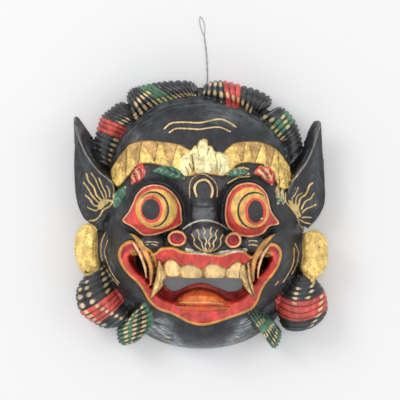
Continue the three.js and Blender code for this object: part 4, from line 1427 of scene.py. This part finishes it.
def node(tree, kind, settings=None, **links):
    """Adds a shader node. A link is a value or another node's socket, named by the input it feeds."""
    made = tree.nodes.new(kind)
    for name, value in (settings or {}).items():
        setattr(made, name, value)
    for name, value in links.items():
        socket = next(s for s in made.inputs
                      if s.enabled and s.name.replace(" ", "_").replace(".", "") == name)
        connect(tree, value, socket)
    return made


def connect(tree, value, socket):
    if isinstance(value, bpy.types.NodeSocket):
        tree.links.new(value, socket)
    else:
        socket.default_value = value


def result(made):
    return next(socket for socket in made.outputs if socket.enabled)


def mixed(tree, factor, below, above):
    """One colour over another."""
    mix = tree.nodes.new("ShaderNodeMix")
    mix.data_type = "RGBA"
    sockets = [s for s in mix.inputs if s.enabled]
    for value, socket in zip((factor, below, above), sockets):
        connect(tree, value, socket)
    return result(mix)


def mapped(tree, value, low, high, to_low=0.0, to_high=1.0):
    made = node(tree, "ShaderNodeMapRange", {"interpolation_type": "SMOOTHSTEP"}, Value=value)
    for name, setting in (("From Min", low), ("From Max", high), ("To Min", to_low), ("To Max", to_high)):
        made.inputs[name].default_value = setting
    return result(made)


def maths(tree, operation, first, second=0.0):
    made = tree.nodes.new("ShaderNodeMath")
    made.operation = operation
    connect(tree, first, made.inputs[0])
    connect(tree, second, made.inputs[1])
    return result(made)


def noisy(tree, place, scale, detail=3.0, stretch=None, kind="ShaderNodeTexNoise"):
    """Noise at so many lumps a metre, drawn out along an axis if asked."""
    if stretch:
        place = result(node(tree, "ShaderNodeMapping", Vector=place, Scale=stretch))
    made = node(tree, kind, Vector=place, Scale=scale, Detail=detail)
    return made.outputs["Fac"] if "Fac" in made.outputs else made.outputs["Distance"]


def new_group(name, inputs, outputs):
    group = bpy.data.node_groups.new(name, "ShaderNodeTree")
    for label, kind in inputs:
        group.interface.new_socket(label, in_out="INPUT", socket_type=kind)
    for label, kind in outputs:
        group.interface.new_socket(label, in_out="OUTPUT", socket_type=kind)
    return group, group.nodes.new("NodeGroupInput"), group.nodes.new("NodeGroupOutput")


# Lumps and streaks are counted to the metre.
EDGE_WANDER = dict(lumps=420, reach=0.9, softness=0.25)
FLAKES = dict(lumps=330, gone=0.27, whole=0.33)
COAT_PATCHES = dict(lumps=75, darkest=0.74, lightest=1.20)
COAT_STREAKS = dict(lumps=260, across=0.35, darkest=0.76, lightest=1.18)
FOIL = dict(wander=180.0, bend=(0.006, 0.006, 0.006), cells=260.0, tarnish=190, pinholes=900)
HEAD_STREAKS = dict(lumps=120, across=0.03, radial=7.0, deep=4.0)
DRY_PATCHES = dict(lumps=45)
SCRAPE_LINES = dict(lumps=210, across=0.02)
SPECKS = dict(lumps=620, start=0.62, full=0.72, strength=0.34)


def brushed_edge_group():
    """Where a paint covers: inside its edge, which wanders a little, and not where it has flaked off."""
    group, given, out = new_group("brushed edge", [("Depth", "NodeSocketFloat")],
                                  [("Covered", "NodeSocketFloat")])
    place = node(group, "ShaderNodeTexCoord").outputs["Object"]
    wobble = maths(group, "SUBTRACT", noisy(group, place, EDGE_WANDER["lumps"], 2), 0.5)
    wander = maths(group, "MULTIPLY", wobble, EDGE_WANDER["reach"])
    depth = maths(group, "ADD", given.outputs["Depth"], wander)
    edge = mapped(group, depth, -EDGE_WANDER["softness"], EDGE_WANDER["softness"])
    flakes = mapped(group, noisy(group, place, FLAKES["lumps"], 4), FLAKES["gone"], FLAKES["whole"])
    group.links.new(maths(group, "MULTIPLY", edge, flakes), out.inputs["Covered"])
    return group


def brush_marks_group():
    """Uneven coats: light and dark patches in broad strokes, and fine streaks."""
    group, given, out = new_group("brush marks", [("Colour", "NodeSocketColor")],
                                  [("Colour", "NodeSocketColor"), ("Height", "NodeSocketFloat")])
    place = node(group, "ShaderNodeTexCoord").outputs["Object"]
    lumps = noisy(group, place, COAT_PATCHES["lumps"], 3)
    patches = mapped(group, lumps, 0.3, 0.7, COAT_PATCHES["darkest"], COAT_PATCHES["lightest"])
    streaks = noisy(group, place, COAT_STREAKS["lumps"], 4, stretch=(1.0, COAT_STREAKS["across"], 1.0))
    fine = mapped(group, streaks, 0.3, 0.7, COAT_STREAKS["darkest"], COAT_STREAKS["lightest"])
    tone = maths(group, "MULTIPLY", patches, fine)
    scaled = node(group, "ShaderNodeVectorMath", {"operation": "SCALE"}, Vector=given.outputs["Colour"],
                  Scale=tone)
    group.links.new(result(scaled), out.inputs["Colour"])
    group.links.new(streaks, out.inputs["Height"])
    return group


def crumpled_foil_group():
    """Gold leaf laid over rough wood: bright creases, tarnish in the dips and dark pinholes."""
    group, _, out = new_group("crumpled foil", [],
                              [("Tone", "NodeSocketFloat"), ("Height", "NodeSocketFloat")])
    place = node(group, "ShaderNodeTexCoord").outputs["Object"]
    bent = node(group, "ShaderNodeVectorMath", {"operation": "MULTIPLY_ADD"})
    wander = node(group, "ShaderNodeTexNoise", Vector=place, Scale=FOIL["wander"]).outputs["Color"]
    for value, socket in zip((wander, FOIL["bend"], place), bent.inputs):
        connect(group, value, socket)
    cells = node(group, "ShaderNodeTexVoronoi", {"feature": "DISTANCE_TO_EDGE"}, Vector=result(bent),
                 Scale=FOIL["cells"])
    creases = mapped(group, cells.outputs["Distance"], 0.0, 0.14, 0.74, 1.0)
    tarnish = mapped(group, noisy(group, place, FOIL["tarnish"], 4), 0.36, 0.58, 0.84, 1.12)
    pinholes = mapped(group, noisy(group, place, FOIL["pinholes"], 2), 0.30, 0.37, 0.4, 1.0)
    tone = maths(group, "MULTIPLY", maths(group, "MULTIPLY", creases, tarnish), pinholes)
    group.links.new(tone, out.inputs["Tone"])
    group.links.new(creases, out.inputs["Height"])
    return group


BLACK = (0.024, 0.025, 0.028, 1)
# Dry-brush grey, partly painted sheen on the black.
DRY_BRUSH_AND_SHEEN_GREY = (0.19, 0.205, 0.225, 1)
# Pale grey of the chin scrapes, also used for the painted highlight on the hair's crests.
SCRAPED_AND_HIGHLIGHT_GREY = (0.42, 0.45, 0.48, 1)
# Painted shade, laid in hollows and in the grooves between the hair's ridges.
HOLLOW_SHADE = (0.020, 0.014, 0.009, 1)
BARE_WOOD = (0.30, 0.165, 0.07, 1)
DARK_WOOD = (0.14, 0.07, 0.028, 1)
PAINTS = [  # laid in this order, each over the ones before
    ("gold", (0.95, 0.66, 0.20, 1)), ("shaded_pleat", (0.62, 0.38, 0.13, 1)), ("pale", (1.0, 0.88, 0.46, 1)),
    ("fold", (0.24, 0.12, 0.045, 1)), ("hair_green", (0.085, 0.20, 0.12, 1)),
    ("green", (0.055, 0.16, 0.10, 1)), ("green_vein", (0.22, 0.34, 0.25, 1)),
    ("hair_red", (0.58, 0.085, 0.068, 1)), ("red", (0.62, 0.065, 0.05, 1)),
    ("red_vein", (0.66, 0.30, 0.24, 1)), ("deep_red", (0.46, 0.030, 0.022, 1)),
    ("maroon", (0.32, 0.030, 0.028, 1)), ("tongue", (0.60, 0.095, 0.025, 1)),
    ("tongue_glow", (0.72, 0.17, 0.04, 1)), ("glow", (0.80, 0.42, 0.16, 1)),
    ("shade", (0.22, 0.025, 0.012, 1)), ("orange", (0.72, 0.36, 0.085, 1)),
    ("yellow", (0.68, 0.43, 0.11, 1)), ("iris", (0.78, 0.38, 0.10, 1)),
    ("crimson", (0.66, 0.075, 0.045, 1)), ("gum", (0.09, 0.045, 0.05, 1)),
    ("black", (0.016, 0.014, 0.014, 1)), ("tooth_edge", (0.42, 0.20, 0.065, 1)),
    ("strip", (0.66, 0.34, 0.095, 1)), ("fang", (0.45, 0.27, 0.09, 1)),
    ("ivory", (0.77, 0.535, 0.23, 1)), ("fang_line", (0.05, 0.03, 0.02, 1)),
    ("rim", (0.76, 0.46, 0.20, 1)), ("nostril", (0.44, 0.02, 0.03, 1)), ("pit", (0.16, 0.008, 0.01, 1)),
    ("stroke", (0.62, 0.44, 0.17, 1)), ("worn", (0.30, 0.25, 0.19, 1)), ("dab", (0.64, 0.47, 0.24, 1)),
    ("cream", (0.74, 0.51, 0.24, 1)), ("grey", (0.70, 0.65, 0.54, 1)),
    ("ink", (0.022, 0.022, 0.025, 1)), ("chip", (0.36, 0.25, 0.16, 1)),
    ("glint", (0.80, 0.80, 0.80, 1)),
]


def attribute(tree, name):
    return node(tree, "ShaderNodeAttribute", {"attribute_name": name}).outputs["Fac"]


def round_the_head(tree, place):
    """The place again, told as distance from the middle, turn round it and height."""
    x, y, z = node(tree, "ShaderNodeSeparateXYZ", Vector=place).outputs
    squares = maths(tree, "ADD", maths(tree, "MULTIPLY", x, x), maths(tree, "MULTIPLY", y, y))
    out = maths(tree, "MULTIPLY", maths(tree, "SQRT", squares), HEAD_STREAKS["radial"])
    up = maths(tree, "MULTIPLY", z, HEAD_STREAKS["deep"])
    return result(node(tree, "ShaderNodeCombineXYZ", X=out, Y=maths(tree, "ARCTAN2", x, y), Z=up))


def dry_brush_group():
    """Thin grey dragged over the black round the head: it catches raised edges, where it is also painted
    highlight, and leaves fine streaks.
    """
    group, given, out = new_group("dry brush", [("Raised", "NodeSocketFloat"), ("Zone", "NodeSocketFloat")],
                                  [("Covered", "NodeSocketFloat"), ("Scraped", "NodeSocketFloat"),
                                   ("Height", "NodeSocketFloat")])
    raised, zone = given.outputs["Raised"], given.outputs["Zone"]
    place = node(group, "ShaderNodeTexCoord").outputs["Object"]
    turned = round_the_head(group, place)
    streaks = noisy(group, turned, HEAD_STREAKS["lumps"], 5, stretch=(1.0, HEAD_STREAKS["across"], 1.0))
    patches = noisy(group, place, DRY_PATCHES["lumps"], 3)
    fine = noisy(group, place, 520, 3)
    lumps = maths(group, "MULTIPLY", patches, 0.45)
    wanted = maths(group, "ADD", maths(group, "MULTIPLY", streaks, 0.55), lumps)
    wanted = maths(group, "ADD", wanted, maths(group, "MULTIPLY", zone, 0.24))
    strength = maths(group, "ADD", maths(group, "MULTIPLY", zone, 0.78), 0.08)
    dragged = maths(group, "MULTIPLY", mapped(group, wanted, 0.50, 0.78), strength)
    edge = maths(group, "ADD", raised, maths(group, "MULTIPLY", fine, 0.35))
    # Grey on raised edges: dry-brush wear and painted highlight both.
    rubbed_and_highlit = mapped(group, edge, 0.24, 0.55, 0.0, 0.75)
    specks = mapped(group, noisy(group, place, SPECKS["lumps"], 3), SPECKS["start"], SPECKS["full"],
                    0.0, SPECKS["strength"])
    lines = noisy(group, turned, SCRAPE_LINES["lumps"], 3, stretch=(1.0, SCRAPE_LINES["across"], 1.0))
    covered = maths(group, "MAXIMUM", maths(group, "MAXIMUM", rubbed_and_highlit, dragged), specks)
    group.links.new(covered, out.inputs["Covered"])
    group.links.new(mapped(group, lines, 0.46, 0.60), out.inputs["Scraped"])
    group.links.new(streaks, out.inputs["Height"])
    return group


def painted_wood():
    """Black ground with a grey dry brush over it that is partly painted sheen and highlight, the paints
    over that, painted shade in the hollows, and bare wood behind.
    """
    material = bpy.data.materials.new("painted_wood")
    material.use_nodes = True
    tree = material.node_tree
    shader = tree.nodes["Principled BSDF"]
    place = node(tree, "ShaderNodeTexCoord").outputs["Object"]
    edges, marks = brushed_edge_group(), brush_marks_group()
    crest = attribute(tree, "crest")
    # Painted highlight: the hair's crests count as raised edges, so the dry brush lightens them.
    ridge = mapped(tree, attribute(tree, "ridge"), 0.35, 0.95, 0.0, 0.38)
    brushed = node(tree, "ShaderNodeGroup", {"node_tree": dry_brush_group()})
    tree.links.new(maths(tree, "ADD", crest, ridge), brushed.inputs["Raised"])
    tree.links.new(attribute(tree, "brushed"), brushed.inputs["Zone"])
    # Dry-brush grey over the black, partly painted sheen and highlight.
    colour = mixed(tree, brushed.outputs["Covered"], BLACK, DRY_BRUSH_AND_SHEEN_GREY)
    crescents = mapped(tree, attribute(tree, "scrape"), -1.0, 5.0)
    scraped = maths(tree, "MULTIPLY", crescents, brushed.outputs["Scraped"])
    # Painted highlight: pale grey on the crests of the hair's ridges, broken up by noise.
    hair_crest_highlight = maths(tree, "MULTIPLY", mapped(tree, attribute(tree, "ridge"), 0.6, 1.0, 0.0, 0.7),
                        mapped(tree, noisy(tree, place, 150), 0.40, 0.62))
    colour = mixed(tree, maths(tree, "MAXIMUM", scraped, hair_crest_highlight), colour, SCRAPED_AND_HIGHLIGHT_GREY)
    for paint, tint in PAINTS:
        covered = node(tree, "ShaderNodeGroup", {"node_tree": edges})
        tree.links.new(attribute(tree, paint), covered.inputs["Depth"])
        colour = mixed(tree, covered.outputs["Covered"], colour, tint)
    coat = node(tree, "ShaderNodeGroup", {"node_tree": marks})
    tree.links.new(colour, coat.inputs["Colour"])
    colour = coat.outputs["Colour"]
    foil = node(tree, "ShaderNodeGroup", {"node_tree": crumpled_foil_group()})
    gilt = mapped(tree, attribute(tree, "gold"), -0.3, 0.3)
    worn = node(tree, "ShaderNodeVectorMath", {"operation": "SCALE"}, Vector=colour,
                Scale=foil.outputs["Tone"])
    colour = mixed(tree, gilt, colour, result(worn))
    foil_height = maths(tree, "MULTIPLY", gilt, foil.outputs["Height"])
    coat_height = maths(tree, "ADD", coat.outputs["Height"], foil_height)
    # Painted shade: hollows and the grooves between the hair's ridges are darkened almost to black.
    hollow_shade = maths(tree, "MAXIMUM", mapped(tree, crest, -0.42, -0.08, 0.85, 0.0),
                  mapped(tree, attribute(tree, "ridge"), -1.0, -0.45, 0.9, 0.0))
    colour = mixed(tree, hollow_shade, colour, HOLLOW_SHADE)
    grain = noisy(tree, place, 120, 5, stretch=(1.0, 0.08, 1.0))
    wood = mixed(tree, mapped(tree, grain, 0.35, 0.65), DARK_WOOD, BARE_WOOD)
    bare = mapped(tree, attribute(tree, "wood"), -0.3, 0.6)
    tree.links.new(mixed(tree, bare, colour, wood), shader.inputs["Base Color"])
    rough = maths(tree, "MAXIMUM", mapped(tree, coat.outputs["Height"], 0.3, 0.7, 0.36, 0.56),
                  maths(tree, "MULTIPLY", bare, 0.8))
    tree.links.new(rough, shader.inputs["Roughness"])
    shader.inputs["Specular IOR Level"].default_value = 0.45
    relief = maths(tree, "ADD", coat_height, brushed.outputs["Height"])
    bump_node = node(tree, "ShaderNodeBump", Strength=0.5, Distance=0.0005, Height=relief)
    tree.links.new(result(bump_node), shader.inputs["Normal"])
    return material


def dull_steel():
    material = bpy.data.materials.new("wire")
    material.use_nodes = True
    shader = material.node_tree.nodes["Principled BSDF"]
    shader.inputs["Base Color"].default_value = (0.36, 0.31, 0.27, 1)
    shader.inputs["Metallic"].default_value = 1.0
    shader.inputs["Roughness"].default_value = 0.38
    return material


# ---- Hanging wire --------------------------------------------------------------------------

WIRE = dict(radius=0.3, twist_radius=0.5, twists=3, twist_steps=12, lean=7, eye_base=184, eye_top=202,
            eye_half_width=2.2)


def wire_route():
    """Out through the hole, twisted with its other half up to the eye, round it, and back by the notch."""
    start = FACE["y"] + HOLLOW["half_height"]
    wall_out = FACE["y"] + FACE["half_height"]
    turn_start, turn_end, top = wall_out + 8, WIRE["eye_base"], WIRE["eye_top"]
    level = WIRE["radius"] + WIRE["twist_radius"] + 0.1

    def lean(y):
        return WIRE_X - WIRE["lean"] * max(0.0, (y - turn_start) / (top - turn_start)) ** 2

    def strand(side):
        points = []
        for i in range(WIRE["twist_steps"] + 1):
            share = i / WIRE["twist_steps"]
            y = turn_start + (turn_end - turn_start) * share
            angle = math.pi * side + 2 * math.pi * WIRE["twists"] * share
            out, up = WIRE["twist_radius"] * math.cos(angle), WIRE["twist_radius"] * math.sin(angle)
            points.append((lean(y) + out, y, level + up))
        return points

    def eye_side(side):
        points = []
        for t in (0.25, 0.5, 0.75):
            y = turn_end + (top - turn_end) * t
            out = side * WIRE["eye_half_width"] * math.sin(math.pi * (0.12 + 0.7 * t))
            points.append((lean(y) + out, y, level))
        return points

    hole = WIRE_HOLE["z"]
    out = [(WIRE_X, start - 5, hole - 2), (WIRE_X, start + 1, hole), (WIRE_X, wall_out + 1, hole),
           (WIRE_X + 0.3, wall_out + 4.5, hole - 4)]
    back = [(WIRE_X - 0.3, wall_out + 3, level), (WIRE_X, start - 1, level), (WIRE_X, start - 4, level + 2)]
    return [*out, *strand(0), *eye_side(1), (lean(top), top, level), *eye_side(-1)[::-1],
            *strand(1)[::-1], *back]


def hanging_wire():
    """One wire folded double, and its centre line in the frame."""
    route = in_frame(smooth_curve(wire_route(), steps=5))
    curve = bpy.data.curves.new("hanging_wire_line", "CURVE")
    curve.dimensions = "3D"
    curve.bevel_depth = WIRE["radius"] * MM
    curve.bevel_resolution = 3
    curve.use_fill_caps = True
    line = curve.splines.new("POLY")
    line.points.add(len(route) - 1)
    for point, place in zip(line.points, route):
        point.co = (*place, 1)
    drawn = bpy.data.objects.new("drawn", curve)
    bpy.context.scene.collection.objects.link(drawn)
    mesh = bpy.data.meshes.new_from_object(drawn.evaluated_get(bpy.context.evaluated_depsgraph_get()))
    bpy.data.objects.remove(drawn)
    made = bpy.data.objects.new("hanging_wire_made", mesh)
    bpy.context.scene.collection.objects.link(made)
    return made, route


# ---- Staging, in metres --------------------------------------------------------------------

FLOOR_SIZE = 6.0
FLOOR_COLOUR = (0.70, 0.70, 0.705, 1)
FLOOR_GLOW = (0.93, 0.95, 1.0, 1)
FLOOR_GLOW_STRENGTH = 0.09
LIGHTS = [  # name, place, width across and watts
    ("key", (-1.2, 0.9, 1.8), 1.2, 17), ("fill", (1.3, 0.3, 1.6), 1.4, 6),
    ("low", (0.2, -1.5, 1.3), 1.4, 4), ("overhead", (0, 0.02, 2.7), 0.7, 9),
]
WORLD_STRENGTH = 0.72
CAMERA = dict(distance=2.5, seen=0.4, aim=(0.0, 0.0157, 0.05))  # seen is the width seen at the aim


def pale_floor():
    """Faintly lit from below, as a light table is."""
    shape = bmesh.new()
    bmesh.ops.create_grid(shape, x_segments=1, y_segments=1, size=FLOOR_SIZE / 2)
    made = new_object("floor", shape)
    material = bpy.data.materials.new("pale_floor")
    material.use_nodes = True
    shader = material.node_tree.nodes["Principled BSDF"]
    shader.inputs["Base Color"].default_value = FLOOR_COLOUR
    shader.inputs["Roughness"].default_value = 0.9
    shader.inputs["Emission Color"].default_value = FLOOR_GLOW
    shader.inputs["Emission Strength"].default_value = FLOOR_GLOW_STRENGTH
    made.data.materials.append(material)


def soft_light(name, place, size, watts, target=(0, 0, 0.05)):
    light = bpy.data.lights.new(name, "AREA")
    light.shape = "DISK"
    light.size = size
    light.energy = watts
    made = bpy.data.objects.new(name, light)
    made.location = place
    made.rotation_euler = (Vector(target) - Vector(place)).to_track_quat("-Z", "Y").to_euler()
    bpy.context.scene.collection.objects.link(made)


def camera_above(distance, seen, aim):
    """Looks straight down, so that the crown is at the top of the picture."""
    data = bpy.data.cameras.new("camera")
    data.sensor_width = 36.0
    data.lens = data.sensor_width * distance / seen
    made = bpy.data.objects.new("camera", data)
    made.location = (aim[0], aim[1], distance + aim[2])
    bpy.context.scene.collection.objects.link(made)
    bpy.context.scene.camera = made


# ---- The scene -----------------------------------------------------------------------------

def in_frame(points):
    """From the carving's millimetres to the frame's metres."""
    return (np.asarray(points, float) - [*CARVING_CENTRE, 0]) * MM


mask = carve_mask()
paint_mask(mask)
set_coordinates(mask.data, in_frame(coordinates(mask.data)))
mask.data.materials.clear()
mask.data.materials.append(painted_wood())
mask.data.shade_smooth()
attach(mask, "root")
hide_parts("mask")

wire, wire_line = hanging_wire()
wire.data.materials.clear()
wire.data.materials.append(dull_steel())
wire.data.shade_smooth()
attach(wire, "root")
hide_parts("hanging_wire")

pale_floor()
for light in LIGHTS:
    soft_light(*light)
world = bpy.data.worlds.new("studio")
bpy.context.scene.world = world
world.use_nodes = True
world.node_tree.nodes["Background"].inputs["Color"].default_value = (1, 1, 1, 1)
world.node_tree.nodes["Background"].inputs["Strength"].default_value = WORLD_STRENGTH
bpy.context.scene.view_settings.view_transform = "Standard"
camera_above(**CAMERA)
